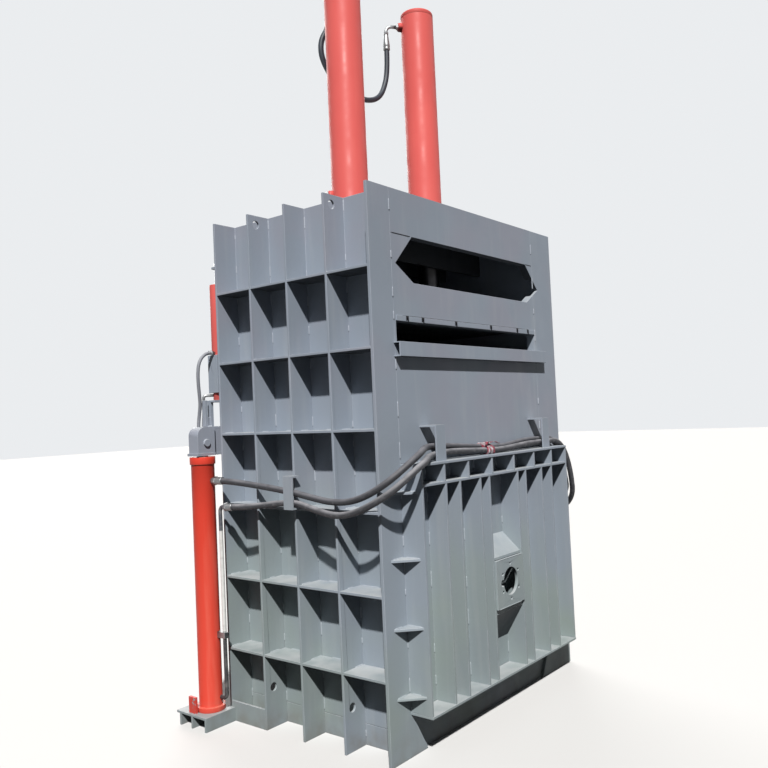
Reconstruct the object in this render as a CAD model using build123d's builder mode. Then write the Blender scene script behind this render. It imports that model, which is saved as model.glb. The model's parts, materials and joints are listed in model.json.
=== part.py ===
"""Twin-ram vertical baling press with a lifting front gate.

Two hydraulic cylinders on the crosshead push one platen down a ribbed steel
box. The front gate is lifted by two long cylinders that stand on feet beside
the box, and carries the feed door with its own two short cylinders.

Frame: origin on the floor under the middle of the box, +Z up, +Y to the rear
wall with the windows and the strapping panel, -Y to the front gate, +X to the
"near" side wall. Millimetres.
"""
from math import cos, pi, radians, sin, sqrt, tan
import os

from build123d import *

os.makedirs("parts", exist_ok=True)

# Driving sizes of the welded box
box_width = 1750
box_depth = 1070
box_height = 2600
plate = 12
skin = 16
heavy = 48
rib_depth = 142
rib_count = 4
row_count = 6
row_first = 375
sole_height = 100
seam = 1
hole_radius = 21
hole_inset = 55
hole_top_inset = 48
hole_low = 200
near_strip = 158
far_strip = 240

# Places that follow from them
half_width = box_width / 2
front_y = -box_depth / 2
rear_y = box_depth / 2
skin_out = half_width - rib_depth
skin_in = skin_out - skin
rib_pitch = (box_depth - plate) / rib_count
rib_starts = [front_y + k * rib_pitch for k in range(rib_count)]
row_pitch = (box_height - 2 * row_first) / (row_count - 1)

# Rear wall above the panel
near_weld = half_width - near_strip
far_weld = far_strip - half_width
toe_reach = 115
toe_height = 200
panel_top = 1318
top_plate_height = 211
upper_top = box_height - top_plate_height
window_half = 690
window_shoulder = 553
window_centre = -4
window_drop = 141
window_height = 223
window_mid = upper_top - window_drop
window_low = upper_top - window_height
slot_centre = 39
slot_half = 662
slot_drop = 411
slot_tall = 98
slot_high = upper_top - slot_drop
slot_low = slot_high - slot_tall
notch_offsets = (170, 457, 581)
notch_width = 12
notch_depth = 16
strip_height = 25
strip_thick = 6
rail_half = 709
rail_centre = 19
rail_drop = 2
rail_tall = 68
rail_high = slot_low - rail_drop
rail_low = rail_high - rail_tall
rail_reach = 38
rail_wall = 6

# Strapping panel low on the rear wall
panel_centre = 3
panel_overlap = 2
panel_half = skin_in + panel_overlap
panel_depth = 120
panel_low = 200
panel_web_height = 93
panel_mid = panel_top - panel_web_height
flange_lip = 3
channel_places = ((143, 228), (409, 527))
web_places = (110, 330, 535)
gusset_leg = 95
gusset_levels = (285, 590, 895, 1195)

# Ejector cylinder mount in the middle bay
ejector_z = 665
mount_below = 124
mount_above = 119
mount_low = ejector_z - mount_below
mount_high = ejector_z + mount_above
mount_thick = 16
mount_proud = 9
mount_rise = 108
mount_drop = 196
slope_thick = 10
ejector_radius = 70
ejector_notch = 17
ejector_notch_x = 79
bolt_circle = 89
bolt_hole = 7
wall_hole_radius = 78

# Floor and crosshead
floor_top = 200
floor_thick = 24
beam_pitch = 240
beam_web = 24
sill_recess = 16
beam_thick = 20
beam_half = 130
beam_height = 148
head_drop = 20
head_top = box_height - head_drop
head_thick = 40
apron_height = 464
head_bore_gap = 6

# Main cylinders
ram_x = 349
ram_y = -12
barrel_radius = 100
barrel_wall = 16
barrel_length = 1392
barrel_top = head_top + barrel_length
cap_height = 30
cap_round = 16
flange_radius = 165
flange_thick = 36
flange_chamfer = 4
flange_bolts = 8
flange_bolt_circle = 138
bolt_radius = 12
bolt_hex = 18.6
bolt_head = 15
rod_radius = 60
slide_gap = 0.3
piston_drop = 100
piston_height = 50

# Platen
platen_hang = 570
platen_low = head_top - platen_hang
platen_plate = 40
platen_rib = 110
platen_side = 14
platen_cross = 95
platen_gap_side = 17
platen_gap_front = 30
platen_gap_rear = 12
boss_radius = 105
boss_height = 34

# Lift cylinders and their feet
lift_beside = 81
lift_before = 53
lift_x = half_width + lift_beside
lift_y = front_y - lift_before
lift_radius = 60
lift_wall = 10
lift_top = 1330
lift_gland = 38
lift_head_top = lift_top + lift_gland
lift_head_radius = 66
lift_base_radius = 74
lift_base_height = 24
lift_bottom = 50
lift_rod_radius = 30
lift_piston = 60
lift_piston_rest = 8
foot_width = 191
foot_reach = half_width + foot_width
foot_before = 195
foot_behind = 40
foot_front = front_y - foot_before
foot_rear = front_y + foot_behind
foot_height = 70
foot_webs = (-172, -79, 28)
lug_inset = 19
lug_before = 82
lug_x = foot_reach - lug_inset
lug_y = front_y - lug_before
lug_thick = 14
lug_width = 54
lug_tall = 82

# Gate
running_gap = 2
tongue_half = skin_out + running_gap
gate_skin = 12
gate_low = 150
gate_drop = 260
gate_high = box_height - gate_drop
stile_inset = 23
rib_edge = tongue_half - stile_inset
gate_reach = 79
gate_bar = 14
gate_levels = (157, 450, 745, 1040, 1335)
gate_posts = (-353, 0, 353)
opening_half = 600
opening_low = 1400
opening_drop = 280
opening_high = gate_high - opening_drop
keeper_wall = 12
keeper_lip = 34
keeper_gap = 3
keeper_low = 20
keeper_drop = 40
keeper_high = box_height - keeper_drop

# Ears and arms that tie the gate to its lift rods
ear_rise = 6
ear_height = 150
ear_half = 55
ear_low = lift_head_top + ear_rise
ear_high = ear_low + ear_height
ear_inner = lift_x - ear_half
ear_outer = lift_x + ear_half
ear_depth = 76
ear_wall = 10
ear_round = 48
ear_base = 14
ear_lip = 8
ear_pin = 20
ear_pin_proud = 9
ear_pin_chamfer = 2
ear_pin_rise = 66
ear_pin_z = ear_low + ear_pin_rise
arm_wall = 14
neck_radius = 20
nut_radius = 25
nut_height = 26
thread_end = 10

# Feed door and its cylinders
door_inset = 146
door_before = 2
door_x = lift_x - door_inset
door_y = lift_y - door_before
door_radius = 45
door_wall = 8
door_foot = 26
door_head = 34
door_piston = 40
door_piston_rest = 6
door_drop = 55
door_top = gate_high - door_drop
door_rod_radius = 16
door_overlap = 40
door_half = opening_half + door_overlap
door_lap_low = 15
door_lap_high = 20
door_bottom = opening_low - door_lap_low
door_high = opening_high + door_lap_high
door_skin = 10
door_gap = 2
door_bar = 45
door_bays = 4
guide_grip = 24
strap_width = 60
lug_rise = 85
lug_z = door_top + lug_rise
lug_height = 60
lug_round = 28
neck_small = 12
nut_small = 19
nut_small_height = 20

# Stools for the feed door's cylinders
stool_rise = 139
stool_top = ear_high + stool_rise
stool_inner = door_x - 46
stool_outer = door_x + 72
stool_front = lift_y - 34
stool_back = lift_y - 10
post_width = 18
tie_height = 50
tie_inset = 4
cover_out = 43
cover_x = door_x + cover_out
cover_thick = 10
cover_front = door_y - 42
cover_back = door_y + 34
cover_rise = 39
cover_height = 202
cover_low = stool_top + cover_rise
cover_high = cover_low + cover_height
cover_hole = 5
cover_hole_in = 14
cover_hole_down = 28

# Ports, fittings and hoses
sunk = 9
port_drop_from_top = 56
port_z = barrel_top - port_drop_from_top
port_drop = 137
far_port_angle = -38
far_port_reach = 128
near_port_angle = -100
near_port_reach = 60
low_port_rise = 160
low_port_z = head_top + low_port_rise
low_port_reach = 47
port_radius = 20
port_boss = 26
port_boss_length = 23
hose_radius = 15.5
main_hose_radius = 16
door_hose_radius = 9
lift_port_x = lift_x - 8
lift_port_z = lift_top - 86
lift_port_end = lift_y + 82
lift_port_radius = 12.5
nut_across = 17
nut_length = 16
pipe_radius = 10
pipe_x = lift_x - 20
pipe_y = lift_y + 104
pipe_low = foot_height + 65
pipe_high = lift_top - 219
pipe_end = lift_y + 148
pipe_bend = 26
clamp_z = 440
clamp_height = 30
clamp_width = 26
elbow_radius = 8
elbow_bend = 16
elbow_x = door_x + 80
elbow_y = door_y - 55
elbow_z = stool_top + 27
elbow_end = elbow_z - 40
top_port_y = door_y + 5
top_port_z = stool_top + 252
top_port_end = door_x + 58
manifold_low = ear_low + 50
manifold_thick = 26
manifold_high = manifold_low + manifold_thick
manifold_reach = 38
manifold_x0 = lift_x - 80
manifold_x1 = lift_x - 10
bracket_thick = 8
bracket_width = 74
bracket_places = (520, -528)
bracket_reach = 95
bracket_face = rear_y + bracket_reach
bracket_rise = 169
bracket_top = panel_top + bracket_rise
strap_wide = 60
strap_reach = 52
strap_places = ((1, 2, 8, -132, 28), (-1, 1, 14, -176, 16))


def keep(piece, name):
    """Label a finished piece and write it to parts/."""
    piece.part.label = name
    export_step(piece.part, f"parts/{name}.step")


def keep_pair(piece, name):
    """Write a near-side piece, then its mirror image on the far side."""
    keep(piece, f"{name}_near")
    with BuildPart() as other:
        mirror(piece.part, about=Plane.YZ)
    keep(other, f"{name}_far")


def keep_both(piece, name):
    """Write a near-side piece and its mirror image as one node."""
    with BuildPart() as pair:
        add(piece.part)
        mirror(piece.part, about=Plane.YZ)
    keep(pair, name)


def keep_apart(pieces, name):
    """Write pieces that touch but are not one: each stays a solid of its own."""
    group = Compound(children=[piece.part.solid() for piece in pieces])
    group.label = name
    export_step(group, f"parts/{name}.step")


def slab(x0, x1, y0, y1, z0, z1):
    """A flat plate or bar, cut square."""
    with BuildPart() as piece:
        with BuildSketch(Plane.XY.offset(z0)):
            with Locations(((x0 + x1) / 2, (y0 + y1) / 2)):
                Rectangle(x1 - x0, y1 - y0)
        extrude(amount=z1 - z0)
    return piece


def wall_plate(outline, y, thick):
    """A plate cut to an outline in X and Z, its rear face at y."""
    with BuildPart() as piece:
        with BuildSketch(Plane.XZ.offset(-y)):
            Polygon(*outline, align=None)
        extrude(amount=thick)
    return piece


def side_plate(outline, x, thick):
    """A plate cut to an outline in Y and Z, standing from x towards +X."""
    with BuildPart() as piece:
        with BuildSketch(Plane.YZ.offset(x)):
            Polygon(*outline, align=None)
        extrude(amount=thick)
    return piece


def set_of(pieces):
    """Several equal pieces that share one node."""
    with BuildPart() as group:
        for piece in pieces:
            add(piece.part)
    return group


# Side walls: skin and sole plates
side_skin = slab(skin_in, skin_out, front_y, rear_y - skin, sole_height, box_height)
keep_pair(side_skin, "side_skin")


# Side walls: upright ribs, every second one with lifting holes
def side_rib(index):
    """One upright rib; the second and the last carry two lifting holes."""
    y = rib_starts[index]
    with BuildPart() as rib:
        with BuildSketch(Plane.XZ.offset(-(y + plate))):
            with Locations((skin_out + rib_depth / 2, box_height / 2)):
                Rectangle(rib_depth, box_height)
            if index % 2 == 1:
                with Locations(
                    (half_width - hole_inset, hole_low),
                    (half_width - hole_inset, box_height - hole_top_inset),
                ):
                    Circle(hole_radius, mode=Mode.SUBTRACT)
        extrude(amount=plate)
    return rib


keep_both(set_of([side_rib(index) for index in range(rib_count)]), "side_ribs")

# Side walls: rows of flat bars between the ribs, the rear strip closing the last bay
bay_starts = [start + plate for start in rib_starts]
bay_ends = rib_starts[1:] + [rear_y - skin]
row_tops = [row_first + row * row_pitch for row in range(row_count)]
bars = [
    slab(skin_out, half_width, y0, y1, top - plate, top)
    for top in row_tops
    for y0, y1 in zip(bay_starts, bay_ends)
]
keep_both(set_of(bars), "side_bars")

# Side walls: sole plates under the skins, and the toe plate across the first bay
sole_plates = [
    slab(skin_in, skin_out, front_y, rear_y - skin, 0, sole_height - seam),
    slab(half_width - plate, half_width, bay_starts[0], bay_ends[0], 0, sole_height),
]
keep_both(set_of(sole_plates), "sole_plates")


# Rear wall: outlines of the window and the slot, used by every plate they cross
def window_outline():
    """The six-sided window under the top plate."""
    return (
        (window_centre - window_half, window_mid),
        (window_centre - window_shoulder, upper_top),
        (window_centre + window_shoulder, upper_top),
        (window_centre + window_half, window_mid),
        (window_centre + window_shoulder, window_low),
        (window_centre - window_shoulder, window_low),
    )


def strip_outline(weld, side):
    """A corner strip with the slanted toe at its foot."""
    return (
        (weld, box_height),
        (side * half_width, box_height),
        (side * half_width, 0),
        (weld - side * toe_reach, 0),
        (weld, toe_height),
    )


corner_near = wall_plate(strip_outline(near_weld, 1), rear_y, skin)
keep(corner_near, "corner_strip_near")

with BuildPart() as corner_far:
    with BuildSketch(Plane.XZ.offset(-rear_y)):
        Polygon(*strip_outline(far_weld, -1), align=None)
        Polygon(*window_outline(), align=None, mode=Mode.SUBTRACT)
    extrude(amount=skin)
keep(corner_far, "corner_strip_far")

top_plate = slab(far_weld, near_weld, rear_y - heavy, rear_y, upper_top, box_height)
keep(top_plate, "rear_top_plate")

notch_places = [slot_centre + side * offset for side in (-1, 1) for offset in notch_offsets]

with BuildPart() as upper_plate:
    with BuildSketch(Plane.XZ.offset(-rear_y)):
        with Locations(((near_weld + far_weld) / 2, (panel_top + upper_top) / 2)):
            Rectangle(near_weld - far_weld, upper_top - panel_top)
        Polygon(*window_outline(), align=None, mode=Mode.SUBTRACT)
        with Locations((slot_centre, (slot_low + slot_high) / 2)):
            Rectangle(2 * slot_half, slot_high - slot_low, mode=Mode.SUBTRACT)
        with Locations(*[(x, slot_high + notch_depth / 2) for x in notch_places]):
            Rectangle(notch_width, notch_depth, mode=Mode.SUBTRACT)
    extrude(amount=heavy)
keep(upper_plate, "rear_upper_plate")

with BuildPart() as notch_strip:
    with BuildSketch(Plane.XZ.offset(-(rear_y + strip_thick))):
        with Locations((slot_centre, slot_high + strip_height / 2)):
            Rectangle(2 * slot_half, strip_height)
        with Locations(*[(x, slot_high + notch_depth / 2) for x in notch_places]):
            Rectangle(notch_width, notch_depth, mode=Mode.SUBTRACT)
    extrude(amount=strip_thick)
keep(notch_strip, "notch_strip")

with BuildPart() as slot_rail:
    with BuildSketch(Plane.YZ.offset(rail_centre - rail_half)):
        with Locations((rear_y + rail_reach / 2, (rail_low + rail_high) / 2)):
            Rectangle(rail_reach, rail_high - rail_low)
        with Locations((rear_y + (rail_reach - rail_wall) / 2, (rail_low + rail_high) / 2)):
            Rectangle(rail_reach - rail_wall, rail_high - rail_low - 2 * rail_wall, mode=Mode.SUBTRACT)
    extrude(amount=2 * rail_half)
keep(slot_rail, "slot_rail")

# Rear wall: the plate behind the strapping panel and the sill under it
with BuildPart() as lower_plate:
    with BuildSketch(Plane.XZ.offset(-rear_y)):
        with Locations(((near_weld + far_weld) / 2, (panel_low + panel_top) / 2)):
            Rectangle(near_weld - far_weld, panel_top - panel_low)
        with Locations((panel_centre, ejector_z)):
            Circle(wall_hole_radius, mode=Mode.SUBTRACT)
    extrude(amount=skin)
keep(lower_plate, "rear_lower_plate")

# Strapping panel: skin, three flanges, end plates, channel ribs and short webs
panel_x0 = panel_centre - panel_half
panel_x1 = panel_centre + panel_half
panel_face = rear_y + plate
panel_edge = rear_y + panel_depth

with BuildPart() as panel_skin:
    with BuildSketch(Plane.XZ.offset(-panel_face)):
        with Locations((panel_centre, (panel_low + panel_top - plate) / 2)):
            Rectangle(2 * (panel_half - plate), panel_top - plate - panel_low)
        with Locations((panel_centre, ejector_z)):
            Circle(wall_hole_radius, mode=Mode.SUBTRACT)
    extrude(amount=plate)
keep(panel_skin, "panel_skin")

flange_edge = panel_edge + flange_lip
panel_flanges = [
    slab(panel_x0, panel_x1, rear_y, flange_edge, panel_top - plate, panel_top),
    slab(panel_x0 + plate, panel_x1 - plate, panel_face, panel_edge, panel_mid - plate, panel_mid),
    slab(panel_x0, panel_x1, rear_y, flange_edge, panel_low - plate, panel_low),
]
keep(set_of(panel_flanges), "panel_flanges")

panel_ends = [
    slab(x, x + plate, rear_y, panel_edge, panel_low, panel_top - plate)
    for x in (panel_x0, panel_x1 - plate)
]
keep(set_of(panel_ends), "panel_ends")

channel_x = [panel_centre + side * x for side in (-1, 1) for pair in channel_places for x in pair]
panel_ribs = [
    slab(x - plate / 2, x + plate / 2, panel_face, panel_edge, panel_low, panel_mid - plate)
    for x in channel_x
]
keep(set_of(panel_ribs), "panel_ribs")

web_x = [panel_centre + side * x for side in (-1, 1) for x in web_places]
panel_webs = [
    slab(x - plate / 2, x + plate / 2, panel_face, panel_edge, panel_mid, panel_top - plate)
    for x in web_x
]
keep(set_of(panel_webs), "panel_webs")


def gusset(x, side, z):
    """A three-cornered gusset between the wall and one end of the panel."""
    with BuildPart() as piece:
        with BuildSketch(Plane.XY.offset(z)):
            Polygon(
                (x, rear_y),
                (x + side * gusset_leg, rear_y),
                (x, rear_y + gusset_leg),
                align=None,
            )
        extrude(amount=-plate)
    return piece


gussets = [gusset(x, side, z) for x, side in ((panel_x1, 1), (panel_x0, -1)) for z in gusset_levels]
keep(set_of(gussets), "panel_gussets")

# Ejector mount: bored front plate held off the wall by two slanted plates
inner_channel = channel_places[0][0]
mount_half = inner_channel - plate / 2
mount_face = panel_edge + mount_proud
mount_back = mount_face - mount_thick

with BuildPart() as ejector_plate:
    with BuildSketch(Plane.XZ.offset(-mount_face)):
        with Locations((panel_centre, (mount_low + mount_high) / 2)):
            Rectangle(2 * mount_half, mount_high - mount_low)
        with Locations((panel_centre, ejector_z)):
            Circle(ejector_radius, mode=Mode.SUBTRACT)
            with Locations((ejector_notch_x, 0)):
                Circle(ejector_notch, mode=Mode.SUBTRACT)
            with PolarLocations(bolt_circle, 6, start_angle=30):
                Circle(bolt_hole, mode=Mode.SUBTRACT)
    extrude(amount=mount_thick)
keep(ejector_plate, "ejector_plate")


def mount_slope(z_front, z_wall):
    """A slanted plate from the mount's edge back to the panel's skin."""
    rise = z_wall - z_front
    run = mount_face - panel_face
    upright = slope_thick * sqrt(1 + (rise / run) ** 2) * (-1 if rise > 0 else 1)
    outline = (
        (mount_back, z_front + rise * mount_thick / run),
        (panel_face, z_wall),
        (panel_face, z_wall + upright),
        (mount_back, z_front + rise * mount_thick / run + upright),
    )
    return side_plate(outline, panel_centre - mount_half, 2 * mount_half)


slopes = [
    mount_slope(mount_high, mount_high + mount_rise),
    mount_slope(mount_low, mount_low - mount_drop),
]
keep(set_of(slopes), "ejector_slopes")

# Floor plate of the bale chamber on its beams
floor_plate = slab(-skin_in, skin_in, front_y, rear_y - skin, floor_top - floor_thick, floor_top)
keep(floor_plate, "floor_plate")
beam_back = rear_y - skin - sill_recess
floor_beams = [
    slab(x - beam_web / 2, x + beam_web / 2, front_y + skin, beam_back, 0, floor_top - floor_thick)
    for x in (-2 * beam_pitch, -beam_pitch, 0, beam_pitch, 2 * beam_pitch)
]
sills = [
    slab(-skin_in, skin_in, front_y, front_y + skin, 0, floor_top - floor_thick),
    slab(-skin_in, skin_in, beam_back, beam_back + sill_recess, 0, floor_top - floor_thick),
]
keep_apart(floor_beams + sills, "floor_beams")

# Crosshead: bored top plate on two deep beams, and the front apron
head_back = rear_y - heavy
apron_y = front_y + skin
with BuildPart() as head_plate:
    with BuildSketch(Plane.XY.offset(head_top - head_thick)):
        with Locations((0, (apron_y + head_back) / 2)):
            Rectangle(2 * skin_in, head_back - apron_y)
        with Locations((-ram_x, ram_y), (ram_x, ram_y)):
            Circle(rod_radius + head_bore_gap, mode=Mode.SUBTRACT)
    extrude(amount=head_thick)
keep(head_plate, "crosshead_plate")
head_low = head_top - head_thick
head_beams = [
    slab(-skin_in, skin_in, y - beam_thick / 2, y + beam_thick / 2, head_low - beam_height, head_low)
    for y in (ram_y - beam_half, ram_y + beam_half)
]
keep(set_of(head_beams), "crosshead_beams")
apron_top = box_height - skin
keep(slab(-skin_in, skin_in, front_y, apron_y, apron_top - apron_height, apron_top), "front_apron")


# Main cylinders
def main_barrel(x):
    """Cylinder tube with its foot flange, bolt holes left to the bolts."""
    with BuildPart() as barrel:
        with BuildSketch(Plane.XY.offset(head_top)):
            with Locations((x, ram_y)):
                Circle(flange_radius)
                Circle(rod_radius + slide_gap, mode=Mode.SUBTRACT)
                with PolarLocations(flange_bolt_circle, flange_bolts):
                    Circle(bolt_radius, mode=Mode.SUBTRACT)
        extrude(amount=flange_thick)
        with BuildSketch(Plane.XY.offset(head_top + flange_thick)):
            with Locations((x, ram_y)):
                Circle(barrel_radius)
                Circle(barrel_radius - barrel_wall, mode=Mode.SUBTRACT)
        extrude(amount=barrel_top - head_top - flange_thick)
        foot_edge = barrel.edges().filter_by(GeomType.CIRCLE).filter_by(
            lambda edge: abs(edge.radius - flange_radius) < 0.1
        ).sort_by(Axis.Z)[-1]
        chamfer(foot_edge, flange_chamfer)
    return barrel


def main_cap(x):
    """Closed end of a main cylinder, its rim rounded."""
    with BuildPart() as cap:
        with BuildSketch(Plane.XY.offset(barrel_top)):
            with Locations((x, ram_y)):
                Circle(barrel_radius)
        extrude(amount=cap_height)
        fillet(cap.faces().sort_by(Axis.Z)[-1].edges(), cap_round)
    return cap


def flange_bolt_set(x):
    """Hexagon bolts that hold one cylinder flange to the crosshead."""
    with BuildPart() as bolts:
        with BuildSketch(Plane.XY.offset(head_top)):
            with Locations((x, ram_y)):
                with PolarLocations(flange_bolt_circle, flange_bolts):
                    Circle(bolt_radius)
        extrude(amount=flange_thick)
        with BuildSketch(Plane.XY.offset(head_top + flange_thick)):
            with Locations((x, ram_y)):
                with PolarLocations(flange_bolt_circle, flange_bolts):
                    RegularPolygon(bolt_hex, 6)
        extrude(amount=bolt_head)
    return bolts


keep(set_of([main_barrel(ram_x), main_barrel(-ram_x)]), "main_barrels")
keep(set_of([main_cap(ram_x), main_cap(-ram_x)]), "main_caps")
keep(set_of([flange_bolt_set(ram_x), flange_bolt_set(-ram_x)]), "flange_bolts")


def port(x, z, angle, reach, drop):
    """A pipe stub out of a main cylinder, bent down where drop is given."""
    away = Vector(cos(radians(angle)), sin(radians(angle)), 0)
    start = Vector(x, ram_y, z) + away * (barrel_radius - sunk)
    turn = start + away * (reach - port_radius)
    plane = Plane(origin=start, x_dir=(0, 0, 1), z_dir=away)
    with BuildPart() as stub:
        with BuildSketch(plane):
            Circle(port_boss)
        extrude(amount=port_boss_length)
        with BuildSketch(plane.offset(port_boss_length)):
            Circle(port_radius)
        extrude(amount=reach - port_boss_length)
        if drop > 0:
            with BuildSketch(Plane.XY.offset(z + port_radius)):
                with Locations((turn.X, turn.Y)):
                    Circle(port_radius)
            extrude(amount=-(port_radius + drop))
        # the stub sits on the barrel, so the barrel's own round is cut out of it
        with BuildSketch(Plane.XY.offset(z - barrel_radius)):
            with Locations((x, ram_y)):
                Circle(barrel_radius)
        extrude(amount=2 * barrel_radius, mode=Mode.SUBTRACT)
    return stub


main_ports = [
    port(-ram_x, port_z, far_port_angle, far_port_reach, port_drop),
    port(ram_x, port_z, near_port_angle, near_port_reach, port_drop),
    port(-ram_x, low_port_z, far_port_angle, low_port_reach, 0),
    port(ram_x, low_port_z, far_port_angle, low_port_reach, 0),
]
keep(set_of(main_ports), "main_ports")

# Ram: two rods with pistons on one ribbed platen
platen_x = skin_in - platen_gap_side
platen_front = front_y + platen_gap_front
platen_back = rear_y - heavy - platen_gap_rear
platen_top = platen_low + platen_plate + platen_rib
piston_radius = barrel_radius - barrel_wall - slide_gap
piston_top = barrel_top - piston_drop


def ram_rod(x):
    """Rod and piston of one main cylinder, standing on the platen's boss."""
    with BuildPart() as rod:
        with BuildSketch(Plane.XY.offset(platen_top + boss_height)):
            with Locations((x, ram_y)):
                Circle(rod_radius)
        extrude(amount=piston_top - piston_height - platen_top - boss_height)
        with BuildSketch(Plane.XY.offset(piston_top - piston_height)):
            with Locations((x, ram_y)):
                Circle(piston_radius)
        extrude(amount=piston_height)
    return rod


keep(set_of([ram_rod(ram_x), ram_rod(-ram_x)]), "ram_rods")
plate_top = platen_low + platen_plate
keep(slab(-platen_x, platen_x, platen_front, platen_back, platen_low, plate_top), "platen_face")


def platen_frame():
    """Deep ribs of the platen: a rim, cross ribs and two rod bosses."""
    middle = (platen_front + platen_back) / 2
    depth = platen_back - platen_front
    sides = [side * ram_x + shift for side in (-1, 1) for shift in (-platen_cross, platen_cross)]
    with BuildPart() as frame:
        with BuildSketch(Plane.XY.offset(plate_top)):
            with Locations((0, middle)):
                Rectangle(2 * platen_x, depth)
                Rectangle(2 * (platen_x - platen_side), depth - 2 * platen_side, mode=Mode.SUBTRACT)
            for y in (ram_y - platen_cross, ram_y + platen_cross):
                with Locations((0, y)):
                    Rectangle(2 * platen_x - platen_side, platen_side)
            for x in sides:
                with Locations((x, middle)):
                    Rectangle(platen_side, depth - platen_side)
        extrude(amount=platen_rib)
        with BuildSketch(Plane.XY.offset(platen_top)):
            with Locations((-ram_x, ram_y), (ram_x, ram_y)):
                Circle(boss_radius)
        extrude(amount=boss_height)
    return frame


keep(platen_frame(), "platen_frame")


# Lift cylinders beside the box
def lift_barrel():
    """Barrel with its base, wall and the thicker head the rod comes out of."""
    base_top = foot_height + lift_base_height
    bore_top = lift_top - lift_gland
    with BuildPart() as barrel:
        with BuildSketch(Plane.XY.offset(foot_height)):
            with Locations((lift_x, lift_y)):
                Circle(lift_base_radius)
        extrude(amount=lift_base_height)
        with BuildSketch(Plane.XY.offset(base_top)):
            with Locations((lift_x, lift_y)):
                Circle(lift_radius)
        extrude(amount=lift_top - base_top)
        with BuildSketch(Plane.XY.offset(lift_top)):
            with Locations((lift_x, lift_y)):
                Circle(lift_head_radius)
        extrude(amount=lift_head_top - lift_top)
        with BuildSketch(Plane.XY.offset(foot_height + lift_bottom)):
            with Locations((lift_x, lift_y)):
                Circle(lift_radius - lift_wall)
        extrude(amount=bore_top - foot_height - lift_bottom, mode=Mode.SUBTRACT)
        with BuildSketch(Plane.XY.offset(bore_top)):
            with Locations((lift_x, lift_y)):
                Circle(lift_rod_radius + slide_gap)
        extrude(amount=lift_head_top - bore_top, mode=Mode.SUBTRACT)
    return barrel


keep_both(lift_barrel(), "lift_barrels")


def lift_foot():
    """Foot beside the box: a plate on three webs, with a small upright lug."""
    with BuildPart() as foot:
        with BuildSketch(Plane.XY.offset(foot_height)):
            with Locations(((half_width + foot_reach) / 2, (foot_front + foot_rear) / 2)):
                Rectangle(foot_reach - half_width, foot_rear - foot_front)
        extrude(amount=-plate)
        for offset in foot_webs:
            with BuildSketch(Plane.XY):
                with Locations(((half_width + foot_reach) / 2, front_y + offset + plate / 2)):
                    Rectangle(foot_reach - half_width, plate)
            extrude(amount=foot_height - plate)
        with BuildSketch(Plane.XY.offset(foot_height)):
            with Locations((lug_x, lug_y)):
                Rectangle(lug_thick, lug_width)
        extrude(amount=lug_tall)
    return foot


keep_both(lift_foot(), "lift_feet")


# Gate: skin with the feed opening, stiles and egg-crate bars
gate_back = front_y - running_gap
gate_face = gate_back - gate_skin
gate_edge = gate_face - gate_reach
gate_inner = rib_edge - gate_bar

with BuildPart() as gate_panel:
    with BuildSketch(Plane.XZ.offset(-gate_back)):
        with Locations((0, (gate_low + gate_high) / 2)):
            Rectangle(2 * tongue_half, gate_high - gate_low)
        with Locations((0, (opening_low + opening_high) / 2)):
            Rectangle(2 * opening_half, opening_high - opening_low, mode=Mode.SUBTRACT)
    extrude(amount=gate_skin)
keep(gate_panel, "gate_panel")

keep_both(slab(gate_inner, rib_edge, gate_edge, gate_face, gate_low, gate_high), "gate_stiles")

gate_bars = [
    slab(-gate_inner, gate_inner, gate_edge, gate_face, z - gate_bar / 2, z + gate_bar / 2)
    for z in gate_levels
]
gate_bars += [
    slab(x - gate_bar / 2, x + gate_bar / 2, gate_edge, gate_face, z0 + gate_bar / 2, z1 - gate_bar / 2)
    for x in gate_posts
    for z0, z1 in zip(gate_levels, gate_levels[1:])
]
keep_apart(gate_bars, "gate_bars")

# Gate: guides of the feed door beside the opening
guide_low = gate_levels[-1] + gate_bar / 2
guide_x0 = door_half + door_gap
guide_lip = gate_face - door_gap - door_skin - door_gap
with BuildPart() as door_guide:
    with BuildSketch(Plane.XY.offset(guide_low)):
        Polygon(
            (guide_x0, gate_face),
            (gate_inner, gate_face),
            (gate_inner, guide_lip - plate),
            (guide_x0 - guide_grip, guide_lip - plate),
            (guide_x0 - guide_grip, guide_lip),
            (guide_x0, guide_lip),
            align=None,
        )
    extrude(amount=gate_high - guide_low)
keep_both(door_guide, "door_guides")

# Keepers on the box that hold the gate's edges
lip_y = gate_face - keeper_gap
keeper_x0 = tongue_half + keeper_gap
keeper_x1 = keeper_x0 + keeper_wall
with BuildPart() as keeper:
    with BuildSketch(Plane.XY.offset(keeper_low)):
        Polygon(
            (keeper_x0, front_y),
            (keeper_x1, front_y),
            (keeper_x1, lip_y - keeper_wall),
            (keeper_x1 - keeper_lip, lip_y - keeper_wall),
            (keeper_x1 - keeper_lip, lip_y),
            (keeper_x0, lip_y),
            align=None,
        )
    extrude(amount=keeper_high - keeper_low)
keep_both(keeper, "gate_keepers")

# Arms from the gate's stiles to the ears
ear_front = lift_y - ear_depth / 2
ear_back = lift_y + ear_depth / 2
arm_back = lip_y - keeper_wall - keeper_gap


def arm():
    """A channel on its side: front plate with two flanges turned back."""
    with BuildPart() as channel:
        with BuildSketch(Plane.YZ.offset(rib_edge)):
            middle = (ear_low + ear_high) / 2
            with Locations(((ear_front + arm_back) / 2, middle)):
                Rectangle(arm_back - ear_front, ear_high - ear_low)
            with Locations(((ear_front + arm_wall + arm_back) / 2, middle)):
                Rectangle(
                    arm_back - ear_front - arm_wall,
                    ear_high - ear_low - 2 * arm_wall,
                    mode=Mode.SUBTRACT,
                )
        extrude(amount=ear_inner - rib_edge)
    return channel


keep_both(arm(), "gate_arms")


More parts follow.
